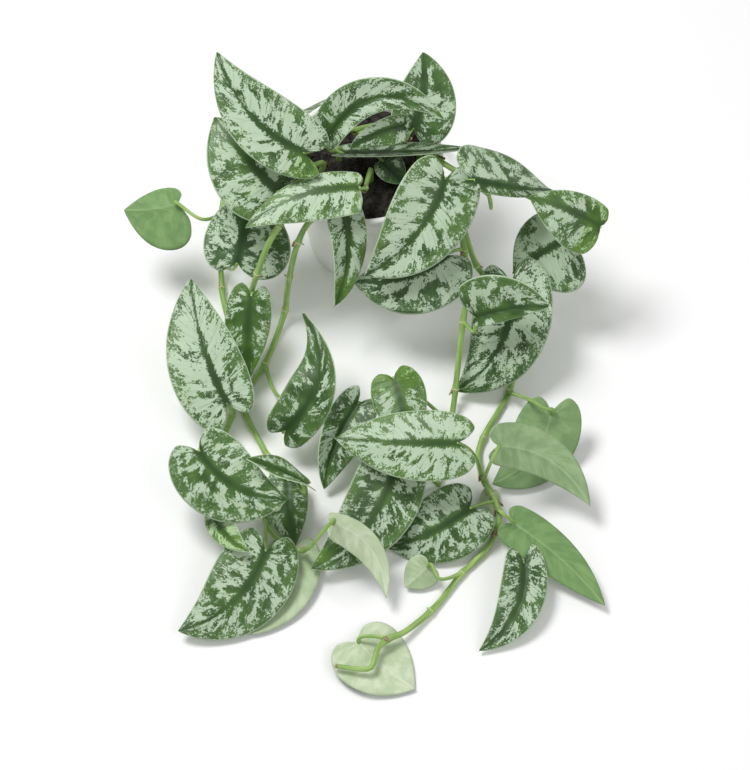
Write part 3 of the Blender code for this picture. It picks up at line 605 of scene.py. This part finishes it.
def stem_course(stem):
    """The stem's foot in the soil, and its smooth route from just over the soil."""
    x, y = stem.root
    low = Vector((x * MM, y * MM, SOIL_TOP - HOLE_DEPTH + GAP))
    clear_of_soil = Vector((x * MM, y * MM, SOIL_TOP + SOIL_MOUND + STEM_UPRIGHT))
    leaning = clear_of_soil + Vector((0, 0, STEM_TURN))
    return low, [clear_of_soil, leaning] + [place(spot) for spot in stem.course]


def petiole_path(leaf, start, passes):
    """From the stem, by the places that it passes, up into the blade's base from below."""
    shape = Frame(leaf)
    base = shape.bent(0, 0, 0)
    normal = (shape.bent(0, 0, HAIR) - base).normalized()
    along = (shape.bent(0, HAIR / shape.chord, 0) - base).normalized()
    arriving = (along * ARRIVING_ALONG + normal * ARRIVING_UP).normalized()
    end = shape.base - normal * (PETIOLE_RADIUS * END_BELOW + RIB_DEPTH)
    end -= along * PETIOLE_RADIUS * END_BEHIND
    reach = (end - start).length
    last = end + arriving * PETIOLE_RADIUS * END_INTO
    if passes:
        straight = end - arriving * PETIOLE_RADIUS * LAST_STRAIGHT
        route = [start] + [place(spot) for spot in passes] + [straight, end]
        return even_points(route, reach / PETIOLE_RINGS) + [last]
    before = end - arriving * reach * PETIOLE_ARRIVAL
    before.z = max(before.z, PETIOLE_RADIUS + GAP)
    leaving = start + (before - start) * PETIOLE_LEAVING + Vector((0, 0, PETIOLE_RISE * reach))
    curve = []
    for i in range(PETIOLE_RINGS + 1):
        t = i / PETIOLE_RINGS
        s = 1 - t
        middle = leaving * 3 * s * s * t + before * 3 * s * t * t
        curve.append(start * s ** 3 + middle + end * t ** 3)
    return curve + [last]


class Mass:
    """Points and faces gathered from several tubes, with the paint field of a stem."""

    def __init__(self, seed):
        self.points, self.faces, self.looks, self.field = [], [], [], []
        self.seed = seed

    def tube(self, path, radii, sides, look=SKIN, start=0.0):
        """A closed tube round the path, with a radius at each of its points."""
        across = (path[1] - path[0]).orthogonal().normalized()
        last = len(path) - 1
        base = len(self.points)
        run = start
        for i, centre in enumerate(path):
            along = (path[min(i + 1, last)] - path[max(i - 1, 0)]).normalized()
            across = (across - along * across.dot(along)).normalized()
            beside = along.cross(across)
            if i:
                run += (centre - path[i - 1]).length / MM
            for k in range(sides):
                turn = 2 * pi * k / sides
                out = across * cos(turn) + beside * sin(turn)
                self.points.append(centre + out * radii[i])
                self.field.append((run, sin(turn / 2) * ROUND_SPAN, self.seed))
        for i in range(last):
            for k in range(sides):
                after = (k + 1) % sides
                low = base + i * sides
                self.faces.append((low + k, low + after, low + sides + after, low + sides + k))
        final = base + last * sides
        self.faces.append(tuple(reversed(range(base, base + sides))))
        self.faces.append(tuple(range(final, final + sides)))
        self.looks += [look] * (last * sides + 2)

    def root_nub(self, centre, along, draw, radius):
        """A short dry nub of an aerial root on the side of a node."""
        out = along.orthogonal().normalized()
        out.rotate(Quaternion(along, draw.uniform(0, 2 * pi)))
        lean = along * draw.uniform(-NUB_LEAN, NUB_LEAN)
        length = draw.uniform(*NUB_LENGTH) * MM
        path = [centre + (out + lean * t) * (radius * NUB_SUNK + length * t) for t, _ in NUB]
        self.tube(path, [thick * MM for _, thick in NUB], NUB_SIDES, DRY)

    def scrap(self, centre, along, turn, length, radius):
        """A thin papery scrap of old sheath that stands off one side of a node."""
        across = along.orthogonal().normalized()
        beside = along.cross(across)
        first = len(self.points)
        for layer in (0, 1):
            for i in range(SCRAP_CUTS + 1):
                angle = turn + (i / SCRAP_CUTS - 0.5) * SCRAP_ARC
                out = across * cos(angle) + beside * sin(angle)
                point = sin(pi * i / SCRAP_CUTS)
                reach = radius + SCRAP_OFF + SCRAP_THICK * layer
                flare = reach + length * SCRAP_FLARE * point
                self.points.append(centre + out * reach)
                self.points.append(centre + out * flare + along * length * (SCRAP_HEM + point))
                self.field += [(0, 0, self.seed)] * 2
        outer = 2 * (SCRAP_CUTS + 1)
        for a in range(first, first + 2 * SCRAP_CUTS, 2):
            b = a + outer
            self.faces += [(a, a + 1, a + 3, a + 2), (b, b + 2, b + 3, b + 1)]
            self.faces += [(a, a + 2, b + 2, b), (a + 1, b + 1, b + 3, a + 3)]
        final = first + 2 * SCRAP_CUTS
        self.faces.append((first, first + outer, first + outer + 1, first + 1))
        self.faces.append((final, final + 1, final + outer + 1, final + outer))
        self.looks += [DRY] * (4 * SCRAP_CUTS + 2)


def add_node(mass, path, i, size, draw):
    """A node's raised ring, scrap of sheath and root nub, at point i of the stem's path."""
    along = (path[i + 1] - path[i - 1]).normalized()
    ring = [path[i] + along * step * MM for step in RING_STEPS]
    raised = size + RING_RAISED
    mass.tube(ring, [size * RING_SUNK, raised, raised, size * RING_SUNK], STEM_SIDES, RING)
    if path[i].z > SCRAP_CLEAR and draw.random() < SCRAP_CHANCE:
        turn = draw.uniform(0, SCRAP_TURN)
        mass.scrap(path[i], along, turn, draw.uniform(*SCRAP_LENGTH) * MM, size)
    mass.root_nub(path[i], along, draw, size)


def add_stem(number, stem, looks):
    """One piece: the stem with its nodes, and every petiole that grows from it."""
    draw = random.Random(STEM_DRAWS + number)
    by_name = {leaf.name: leaf for leaf in LEAVES}
    low, route = stem_course(stem)
    path = [low] + even_points(route, STEM_RINGS)
    spans = len(route) - 1
    starts = [smooth_through(route, (at + POINTS_OVER_SOIL) / spans) for _, at, *_ in stem.carries]
    nodes = list(starts)
    for i in range(FIRST_NODE, len(path) - LAST_NODE, NODE_EVERY):
        if all((path[i] - start).length > NODE_APART for start in starts):
            nodes.append(path[i])
    radii = []
    for i, centre in enumerate(path):
        swell = sum(bell((centre - node).length, NODE_REACH) for node in nodes)
        fade = min(1, END_SHARE + (1 - END_SHARE) * (len(path) - i) / END_RINGS)
        radii.append((STEM_RADIUS + NODE_SWELL * min(swell, 1)) * fade)
    mass = Mass(STEM_SEED * number)
    mass.tube(path, radii, STEM_SIDES)
    for node in nodes:
        i = min(range(1, len(path) - 1), key=lambda k: (path[k] - node).length)
        add_node(mass, path, i, radii[i], draw)
    if all((path[-1] - start).length > BARE_END for start in starts):
        tip = (path[-1] - path[-2]).normalized()
        mass.tube([path[-1] + tip * past * MM for past, _, _ in DRY_END],
                  [radii[-1] * share + more * MM for _, share, more in DRY_END], STEM_SIDES, DRY)
    for (name, _, *passes), start in zip(stem.carries, starts):
        curve = petiole_path(by_name[name], start, passes)
        sizes = []
        for i in range(len(curve)):
            t = i / (len(curve) - 1)
            sheath = SHEATH_SWELL * bell(t, SHEATH_REACH)
            sizes.append(PETIOLE_RADIUS + sheath + NECK_SWELL * bell(t - NECK_AT, NECK_REACH))
        mass.tube(curve, sizes, PETIOLE_SIDES, SKIN, draw.uniform(0, PETIOLE_STREAKS))
    add_piece(stem.name, mass.points, mass.faces, looks, mass.looks,
              {"stem": mass.field})


def circle(radius, sides):
    """Places round the axis, as x and y."""
    turns = [2 * pi * k / sides for k in range(sides)]
    return [(radius * cos(turn), radius * sin(turn)) for turn in turns]


def closed_faces(circles, sides):
    """Faces of a turned body: a point on the axis, circles of points, and a point on the axis."""
    top = 1 + circles * sides
    faces = []
    for k in range(sides):
        after = (k + 1) % sides
        faces.append((0, 1 + after, 1 + k))
        for low in range(1, top - sides, sides):
            faces.append((low + k, low + after, low + sides + after, low + sides + k))
        faces.append((top - sides + k, top - sides + after, top))
    return faces


def pot_inner_radius(height):
    """The pot's inside radius at a height over the surface that it stands on."""
    share = (height - POT_FLOOR) / (POT_HEIGHT - POT_FLOOR)
    return FOOT_RADIUS - POT_WALL + WALL_LEAN * share


def add_pot(look):
    """The pot: a rounded foot, a thrown wall, a raised band and a rounded rim."""
    band = POT_HEIGHT - RIM_BAND
    wall_at_band = FOOT_RADIUS + WALL_LEAN * band / POT_HEIGHT
    profile = [(FOOT_RADIUS - FOOT_INSET, 0)]
    for i in range(FOOT_CUTS + 1):
        turn = radians(90) * i / FOOT_CUTS
        profile.append((FOOT_RADIUS - FOOT_ROUND + FOOT_ROUND * sin(turn),
                        FOOT_ROUND - FOOT_ROUND * cos(turn)))
    for i in range(1, WALL_CUTS):
        share = i / WALL_CUTS
        throw = THROW_DEPTH * sin(THROW_RATE * share)
        wall = FOOT_RADIUS + (wall_at_band - FOOT_RADIUS) * share - WALL_INSET
        profile.append((wall + throw, FOOT_ROUND + (band - FOOT_ROUND) * share))
    profile += [(wall_at_band + out * MM, band + up * MM) for out, up in BAND_FOOT]
    thick = (POT_WALL + RIM_STEP) / 2
    for i in range(RIM_CUTS + 1):
        turn = pi * i / RIM_CUTS
        profile.append((RIM_RADIUS - thick + thick * cos(turn),
                        POT_HEIGHT - thick + thick * sin(turn)))
    profile += [(pot_inner_radius(height), height) for height in (SOIL_TOP, POT_FLOOR)]
    points = [(0, 0, 0)]
    for radius, height in profile:
        points += [(x, y, height) for x, y in circle(radius, POT_SIDES)]
    points.append((0, 0, POT_FLOOR))
    add_piece("pot", points, closed_faces(len(profile), POT_SIDES), [look])


def add_soil(look):
    """A rough mound with loose crumbs lying on it."""
    draw = random.Random(SOIL_DRAWS)
    edge = pot_inner_radius(SOIL_TOP) - SOIL_INSET
    foot = POT_FLOOR + 2 * GAP

    def level(x, y):
        mound = SOIL_MOUND * (1 - (hypot(x, y) / edge) ** 3)
        rough = SOIL_ROUGH * noise.fractal(Vector((x, y, 0)) * SOIL_ROUGH_SCALE, *SOIL_ROUGH_KIND)
        return SOIL_TOP + mound * SOIL_MOUND_SEEN + rough * MM

    points = [Vector((0, 0, foot))]
    for x, y in circle(pot_inner_radius(POT_FLOOR) - SOIL_FOOT_INSET, SOIL_SIDES):
        points.append(Vector((x, y, foot)))
    for ring in range(SOIL_RINGS):
        for x, y in circle(edge * (1 - ring / SOIL_RINGS), SOIL_SIDES):
            points.append(Vector((x, y, level(x, y))))
    points.append(Vector((0, 0, level(0, 0))))
    faces = closed_faces(SOIL_RINGS + 1, SOIL_SIDES)
    for _ in range(CRUMBS):
        reach = edge * CRUMB_REACH * sqrt(draw.random())
        turn = draw.uniform(0, 2 * pi)
        x, y = reach * cos(turn), reach * sin(turn)
        size = draw.uniform(*CRUMB_SIZES) ** CRUMB_SPREAD * MM * CRUMB_SCALE
        add_crumb(points, faces, Vector((x, y, level(x, y) + size * CRUMB_LIFT)), size, draw)
    piece = add_piece("soil", points, faces, [look])
    piece.data.set_sharp_from_angle(angle=SOIL_SHARP)


def add_crumb(points, faces, centre, size, draw):
    """A small lump with six uneven corners and eight sides."""
    base = len(points)
    for i in range(6):
        out = Vector((0, 0, 0))
        out[i // 2] = (1 if i % 2 else -1) * draw.uniform(*CRUMB_CORNER)
        out += Vector([draw.uniform(-CRUMB_JOG, CRUMB_JOG) for _ in range(3)])
        points.append(centre + out * size)
    for x in (0, 1):
        for y in (2, 3):
            for z in (4, 5):
                three = (base + x, base + y, base + z)
                faces.append(three if (x + y + z) % 2 else three[::-1])


class Paint:
    """A material's node tree, built one node at a time."""

    def __init__(self, name, roughness=0.5):
        self.look = bpy.data.materials.new(name)
        self.look.use_nodes = True
        self.tree = self.look.node_tree
        self.shader = self.tree.nodes["Principled BSDF"]
        self.shader.inputs["Roughness"].default_value = roughness
        self.shader.inputs["Specular IOR Level"].default_value = SPECULAR

    def link(self, out, into):
        """Sets a socket to a number or a colour, or joins a node's output to it."""
        if isinstance(out, (int, float)):
            into.default_value = out
        elif isinstance(out, tuple):
            into.default_value = (*out, 1)
        else:
            self.tree.links.new(out, into)

    def node(self, kind, *values):
        """A new node, its first sockets linked to these values."""
        node = self.tree.nodes.new("ShaderNode" + kind)
        for value, into in zip(values, node.inputs):
            self.link(value, into)
        return node

    def field(self, name):
        """The three numbers of a paint field."""
        node = self.node("Attribute")
        node.attribute_name = name
        return self.node("SeparateXYZ", node.outputs["Vector"]).outputs[:3]

    def math(self, kind, *values):
        node = self.node("Math", *values)
        node.operation = kind
        return node.outputs[0]

    def times(self, a, b):
        return self.math("MULTIPLY", a, b)

    def plus(self, a, b):
        return self.math("ADD", a, b)

    def line(self, value, slope, start):
        return self.math("MULTIPLY_ADD", value, slope, start)

    def swing(self, value, size):
        """A noise about 0.5, made a swing of this size about 0."""
        return self.times(self.math("SUBTRACT", value, 0.5), size)

    def ramp(self, value, low, high, to_low=0.0, to_high=1.0):
        """A smooth step from one number at low to another at high."""
        node = self.node("MapRange", value, low, high, to_low, to_high)
        node.interpolation_type = "SMOOTHSTEP"
        return node.outputs["Result"]

    def vector(self, x, y, z):
        return self.node("CombineXYZ", x, y, z).outputs[0]

    def grid(self, x, x_rate, y, y_rate, seed):
        """Where a noise is read: two values, each times its rate, and a seed."""
        return self.vector(self.times(x, x_rate), self.times(y, y_rate), seed)

    def noise(self, vector, scale=1.0, detail=2.0, roughness=0.5, distortion=0.0):
        node = self.node("TexNoise", vector)
        node.inputs["Scale"].default_value = scale
        node.inputs["Detail"].default_value = detail
        node.inputs["Roughness"].default_value = roughness
        node.inputs["Distortion"].default_value = distortion
        return node.outputs["Fac"]

    def dots(self, vector):
        """1 inside small round dots scattered one to a cell, 0 outside."""
        return self.ramp(self.node("TexVoronoi", vector).outputs["Distance"], *DOT_EDGE, 1.0, 0.0)

    def spots(self):
        """The point's own place in metres."""
        return self.node("TexCoord").outputs["Object"]

    def mix(self, share, a, b):
        """From colour a to colour b as share goes from 0 to 1."""
        node = self.node("Mix", share)
        node.data_type = "RGBA"
        self.link(a, node.inputs[6])
        self.link(b, node.inputs[7])
        return node.outputs[2]

    def finish(self, colour, bump=None, strength=0.3, distance=0.2 * MM, roughness=None):
        """The material, once its colour, bump and roughness are joined to the shader."""
        self.link(colour, self.shader.inputs["Base Color"])
        if roughness is not None:
            self.link(roughness, self.shader.inputs["Roughness"])
        if bump is not None:
            node = self.node("Bump")
            node.inputs["Strength"].default_value = strength
            node.inputs["Distance"].default_value = distance
            self.link(bump, node.inputs["Height"])
            self.link(node.outputs[0], self.shader.inputs["Normal"])
        return self.look


SPECULAR = 0.3
DOT_EDGE = (0.22, 0.34)

# The silver marks. A point is silver where the sum of the noises' swings passes 0: a LIFT lets
# more through, a LOSS less. In a pair the first number goes with the margin or with how silver
# the blade is. The dark band's numbers are in mm
MARK_SIZE = 1.12
MARK_VARIES = 0.22
MARK_PHASE = 1.7
MARK_EDGE = 0.020
MARK_COVER = 0.95
PATCH_SWING = 1.6
RAGGED_SWING = 0.72
SPECK_SWING = (0.90, 0.62)
SILVER_LIFT = (1.5, -0.055)
DOT_LIFT = (0.26, 0.14)
MARGIN_LOSS = -0.17
LINE_LOSS = -0.22
LINE_SEED = 40.0
BAND_WIDTH = (-8.0, 4.0)
BAND_TAPER = (14.0, 66.0, 1.0, 0.28)
BAND_RAGGED = 7.5
BAND_SPECK = 3.0
BAND_EDGE = 0.4

# The greens of a blade's top, each from bluish to yellowish, and its silver, with a darker copy of the
# silver that is painted shade
DEEP_GREEN = ((0.029, 0.066, 0.020), (0.052, 0.122, 0.017))
LIGHT_GREEN = ((0.054, 0.120, 0.034), (0.110, 0.222, 0.034))
RIB_GREEN = ((0.016, 0.042, 0.013), (0.032, 0.080, 0.013))
SILVER = ((0.425, 0.535, 0.385), (0.480, 0.600, 0.440))
# The silver darkened as painted shade
SHADED_SILVER = (0.400, 0.530, 0.330)
FRESH_SILVER = (0.340, 0.530, 0.190)
BLADE_EDGE = (0.44, 0.57, 0.37)

# The colours of a blade's underside, each from green to pale
UNDER_LIGHT = ((0.190, 0.340, 0.115), (0.660, 0.730, 0.550))
UNDER_DARK = ((0.130, 0.250, 0.080), (0.500, 0.600, 0.390))
UNDER_VEIN = ((0.30, 0.45, 0.22), (0.76, 0.83, 0.68))
UNDER_RIB = ((0.34, 0.50, 0.24), (0.72, 0.80, 0.62))


def top_look():
    """Green, with a dark band along the midrib and ragged silver patches along the veins."""
    p = Paint("satin_leaf_top")
    run, out, seed = p.field("vein")
    x, y, ring = p.field("blade")
    silver, fresh, _ = p.field("traits")
    size = p.line(p.math("SINE", p.times(seed, MARK_PHASE)), MARK_VARIES, MARK_SIZE)
    around = p.times(run, size)
    away = p.times(out, size)
    patch = p.noise(p.grid(around, 0.125, away, 0.092, seed), distortion=0.35)
    ragged = p.noise(p.grid(around, 0.50, away, 0.30, seed), 1, 3, 0.6, 0.5)
    speck = p.noise(p.grid(x, 0.80, y, 0.80, seed), 1, 2, 0.55, 0.4)
    dots = p.dots(p.grid(x, 0.50, y, 0.50, seed))
    streak = p.noise(p.grid(around, 1.3, out, 0.08, seed), detail=3, roughness=0.6)
    line_seed = p.plus(seed, LINE_SEED)
    line = p.noise(p.grid(around, 0.75, out, 0.055, line_seed), detail=1, distortion=0.2)
    ease = p.noise(p.grid(x, 0.07, y, 0.07, seed), detail=1)
    margin = p.ramp(ring, 0.55, 0.98)

    value = p.plus(p.swing(patch, PATCH_SWING), p.swing(ragged, RAGGED_SWING))
    value = p.plus(value, p.swing(speck, p.line(margin, *SPECK_SWING)))
    value = p.plus(value, p.line(silver, *SILVER_LIFT))
    value = p.plus(value, p.times(margin, MARGIN_LOSS))
    value = p.plus(value, p.times(dots, p.line(margin, *DOT_LIFT)))
    value = p.plus(value, p.times(p.ramp(line, 0.66, 0.74), LINE_LOSS))
    band_edge = p.plus(p.swing(ragged, BAND_RAGGED), p.swing(speck, BAND_SPECK))
    band = p.line(p.ramp(y, *BAND_TAPER), p.line(silver, *BAND_WIDTH), band_edge)
    past_band = p.ramp(p.math("SUBTRACT", x, band), -BAND_EDGE, BAND_EDGE)
    mask = p.times(p.ramp(value, -MARK_EDGE, MARK_EDGE), past_band)

    shade = p.plus(ease, p.plus(p.times(margin, 0.20), p.swing(streak, 0.25)))
    green = p.mix(p.ramp(shade, 0.35, 0.72), p.mix(fresh, *DEEP_GREEN), p.mix(fresh, *LIGHT_GREEN))
    by_rib = p.times(p.ramp(x, 0.3, 3.6, 0.85, 0.0), p.ramp(y, 10.0, 50.0, 1.0, 0.35))
    green = p.mix(by_rib, green, p.mix(fresh, *RIB_GREEN))
    bright = p.mix(p.ramp(streak, 0.30, 0.70), *SILVER)
    # Painted shade: over broad patches the silver goes halfway to its darker, shaded copy
    bright = p.mix(p.ramp(ease, 0.55, 0.75, 0.0, 0.5), bright, SHADED_SILVER)
    bright = p.mix(p.ramp(fresh, 0.72, 1.0, 0.0, 0.75), bright, FRESH_SILVER)
    cover = p.math("SUBTRACT", MARK_COVER, p.ramp(line, 0.60, 0.68, 0.0, 0.25))
    colour = p.mix(p.times(mask, cover), green, bright)
    colour = p.mix(p.ramp(ring, 0.962, 0.985, 0.0, 0.8), colour, BLADE_EDGE)
    height = p.plus(p.times(streak, 0.6), p.times(mask, 0.25))
    return p.finish(colour, height, 0.35, 0.25 * MM, p.ramp(mask, 0, 1, 0.38, 0.50))


def under_look():
    """A plain grey-green underside with faint side veins."""
    p = Paint("satin_leaf_underside", 0.55)
    run, out, seed = p.field("vein")
    x, _, _ = p.field("blade")
    _, _, pale = p.field("traits")
    vein = p.ramp(p.math("ABSOLUTE", p.math("SINE", p.times(run, 0.42))), 0.0, 0.30, 1.0, 0.0)
    cloud = p.noise(p.grid(run, 0.10, out, 0.08, seed), detail=3, roughness=0.6)
    streak = p.noise(p.grid(run, 1.3, out, 0.10, seed), roughness=0.6)
    colour = p.mix(p.ramp(cloud, 0.35, 0.70), p.mix(pale, *UNDER_DARK), p.mix(pale, *UNDER_LIGHT))
    colour = p.mix(p.times(vein, 0.09), colour, p.mix(pale, *UNDER_VEIN))
    colour = p.mix(p.ramp(x, 0.2, 0.9, 0.35, 0.0), colour, p.mix(pale, *UNDER_RIB))
    return p.finish(colour, p.plus(p.times(vein, 0.8), p.times(streak, 0.3)), 0.3, 0.25 * MM)


def margin_look():
    """The blade's thin pale edge."""
    p = Paint("leaf_margin")
    return p.finish(p.mix(p.noise(p.spots(), 300), (0.44, 0.57, 0.38), (0.60, 0.70, 0.52)))


def stem_look():
    """Smooth pale green with long faint streaks and a few darker stretches."""
    p = Paint("stem_skin", 0.42)
    run, around, seed = p.field("stem")
    long_streak = p.noise(p.vector(p.times(run, 0.05), around, seed), detail=3, roughness=0.6)
    stretch = p.noise(p.vector(p.times(run, 0.03), seed, 0.0), detail=1)
    fine = p.noise(p.grid(run, 0.8, around, 2.0, seed), roughness=0.6)
    colour = p.mix(p.ramp(long_streak, 0.35, 0.7), (0.215, 0.370, 0.085), (0.400, 0.570, 0.190))
    colour = p.mix(p.ramp(stretch, 0.45, 0.75, 0.0, 0.5), colour, (0.120, 0.235, 0.060))
    return p.finish(colour, p.plus(fine, long_streak), 0.25, 0.15 * MM)


def speckled_look(name, roughness, grain, dark, light, strength):
    """A dry skin, speckled dark and light. grain is its noise's scale, detail and roughness."""
    p = Paint(name, roughness)
    shade = p.noise(p.spots(), *grain)
    return p.finish(p.mix(p.ramp(shade, 0.35, 0.65), dark, light), shade, strength)


def glaze_look():
    """White glaze with a faint mottle and tiny pits."""
    p = Paint("white_pot_glaze", 0.28)
    mottle = p.noise(p.spots(), 40, 4, 0.6)
    pits = p.noise(p.spots(), 900)
    colour = p.mix(p.ramp(mottle, 0.3, 0.7), (0.80, 0.80, 0.78), (0.88, 0.88, 0.86))
    colour = p.mix(p.ramp(pits, 0.70, 0.76, 0.0, 0.35), colour, (0.55, 0.53, 0.50))
    return p.finish(colour, p.plus(p.times(mottle, 0.5), p.times(pits, 0.1)), 0.15, 0.3 * MM)


def soil_look():
    """Dark lumpy soil with a few paler grains."""
    p = Paint("crumbly_soil", 0.95)
    grain = p.noise(p.spots(), 900, 5, 0.7)
    lumps = p.noise(p.spots(), 220, 3, 0.6)
    colour = p.mix(p.ramp(lumps, 0.35, 0.65), (0.012, 0.011, 0.010), (0.050, 0.043, 0.036))
    colour = p.mix(p.ramp(grain, 0.62, 0.70), colour, (0.14, 0.125, 0.105))
    return p.finish(colour, p.plus(grain, lumps), 0.9, 0.8 * MM)


FLOOR_REACH = 4.0
WORLD_STRENGTH = 0.50
LIT_PLACE = Vector((0, -0.12, 0.03))


def add_floor():
    """A plain pale floor, all but even."""
    p = Paint("pale_floor", 0.9)
    shade = p.noise(p.spots(), 3, 3)
    mesh = bpy.data.meshes.new("floor")
    low, high = -FLOOR_REACH, FLOOR_REACH
    corners = [(low, low, 0), (high, low, 0), (high, high, 0), (low, high, 0)]
    mesh.from_pydata(corners, [], [(0, 1, 2, 3)])
    mesh.materials.append(p.finish(p.mix(shade, (0.90, 0.90, 0.90), (0.93, 0.93, 0.93))))
    add_object("floor", mesh)


def add_light(name, spot, size, power):
    """A round soft light that looks at the plant."""
    light = bpy.data.lights.new(name, "AREA")
    light.shape = "DISK"
    light.size = size
    light.energy = power
    lamp = add_object(name, light)
    lamp.location = spot
    lamp.rotation_euler = (LIT_PLACE - Vector(spot)).to_track_quat("-Z", "Y").to_euler()


def add_lights():
    """A white world, a key light above and a weak fill from the right front."""
    world = bpy.data.worlds.new("studio")
    world.use_nodes = True
    background = world.node_tree.nodes["Background"]
    background.inputs["Color"].default_value = (1, 1, 1, 1)
    background.inputs["Strength"].default_value = WORLD_STRENGTH
    bpy.context.scene.world = world
    add_light("key", (-0.55, 0.15, 1.5), size=0.6, power=17)
    add_light("fill", (0.9, -0.9, 1.2), size=1.0, power=4.5)


def add_camera():
    """The camera, which sees the picture plane."""
    seen = bpy.data.cameras.new("camera")
    seen.sensor_width = SENSOR
    seen.lens = SENSOR * VIEW_DISTANCE / (PICTURE_SIDE * SQUARE)
    seen.clip_end = 20
    camera = add_object("camera", seen)
    camera.location = VIEW_EYE
    camera.rotation_euler = (pi / 2 - VIEW_RAISED, 0, 0)
    bpy.context.scene.camera = camera
    bpy.context.scene.view_settings.view_transform = "Standard"


add_camera()
add_lights()
add_floor()
leaf_looks = [top_look(), under_look(), margin_look()]
stem_looks = [
    stem_look(),
    speckled_look("dry_sheath", 0.8, (700, 4, 0.65), (0.16, 0.10, 0.05), (0.48, 0.42, 0.24), 0.5),
    speckled_look("node_ring", 0.6, (900, 3, 0.6), (0.42, 0.47, 0.22), (0.62, 0.68, 0.42), 0.4),
]
add_pot(glaze_look())
add_soil(soil_look())
for count, leaf in enumerate(LEAVES):
    add_leaf(count, leaf, leaf_looks)
for count, stem in enumerate(STEMS):
    add_stem(count, stem, stem_looks)
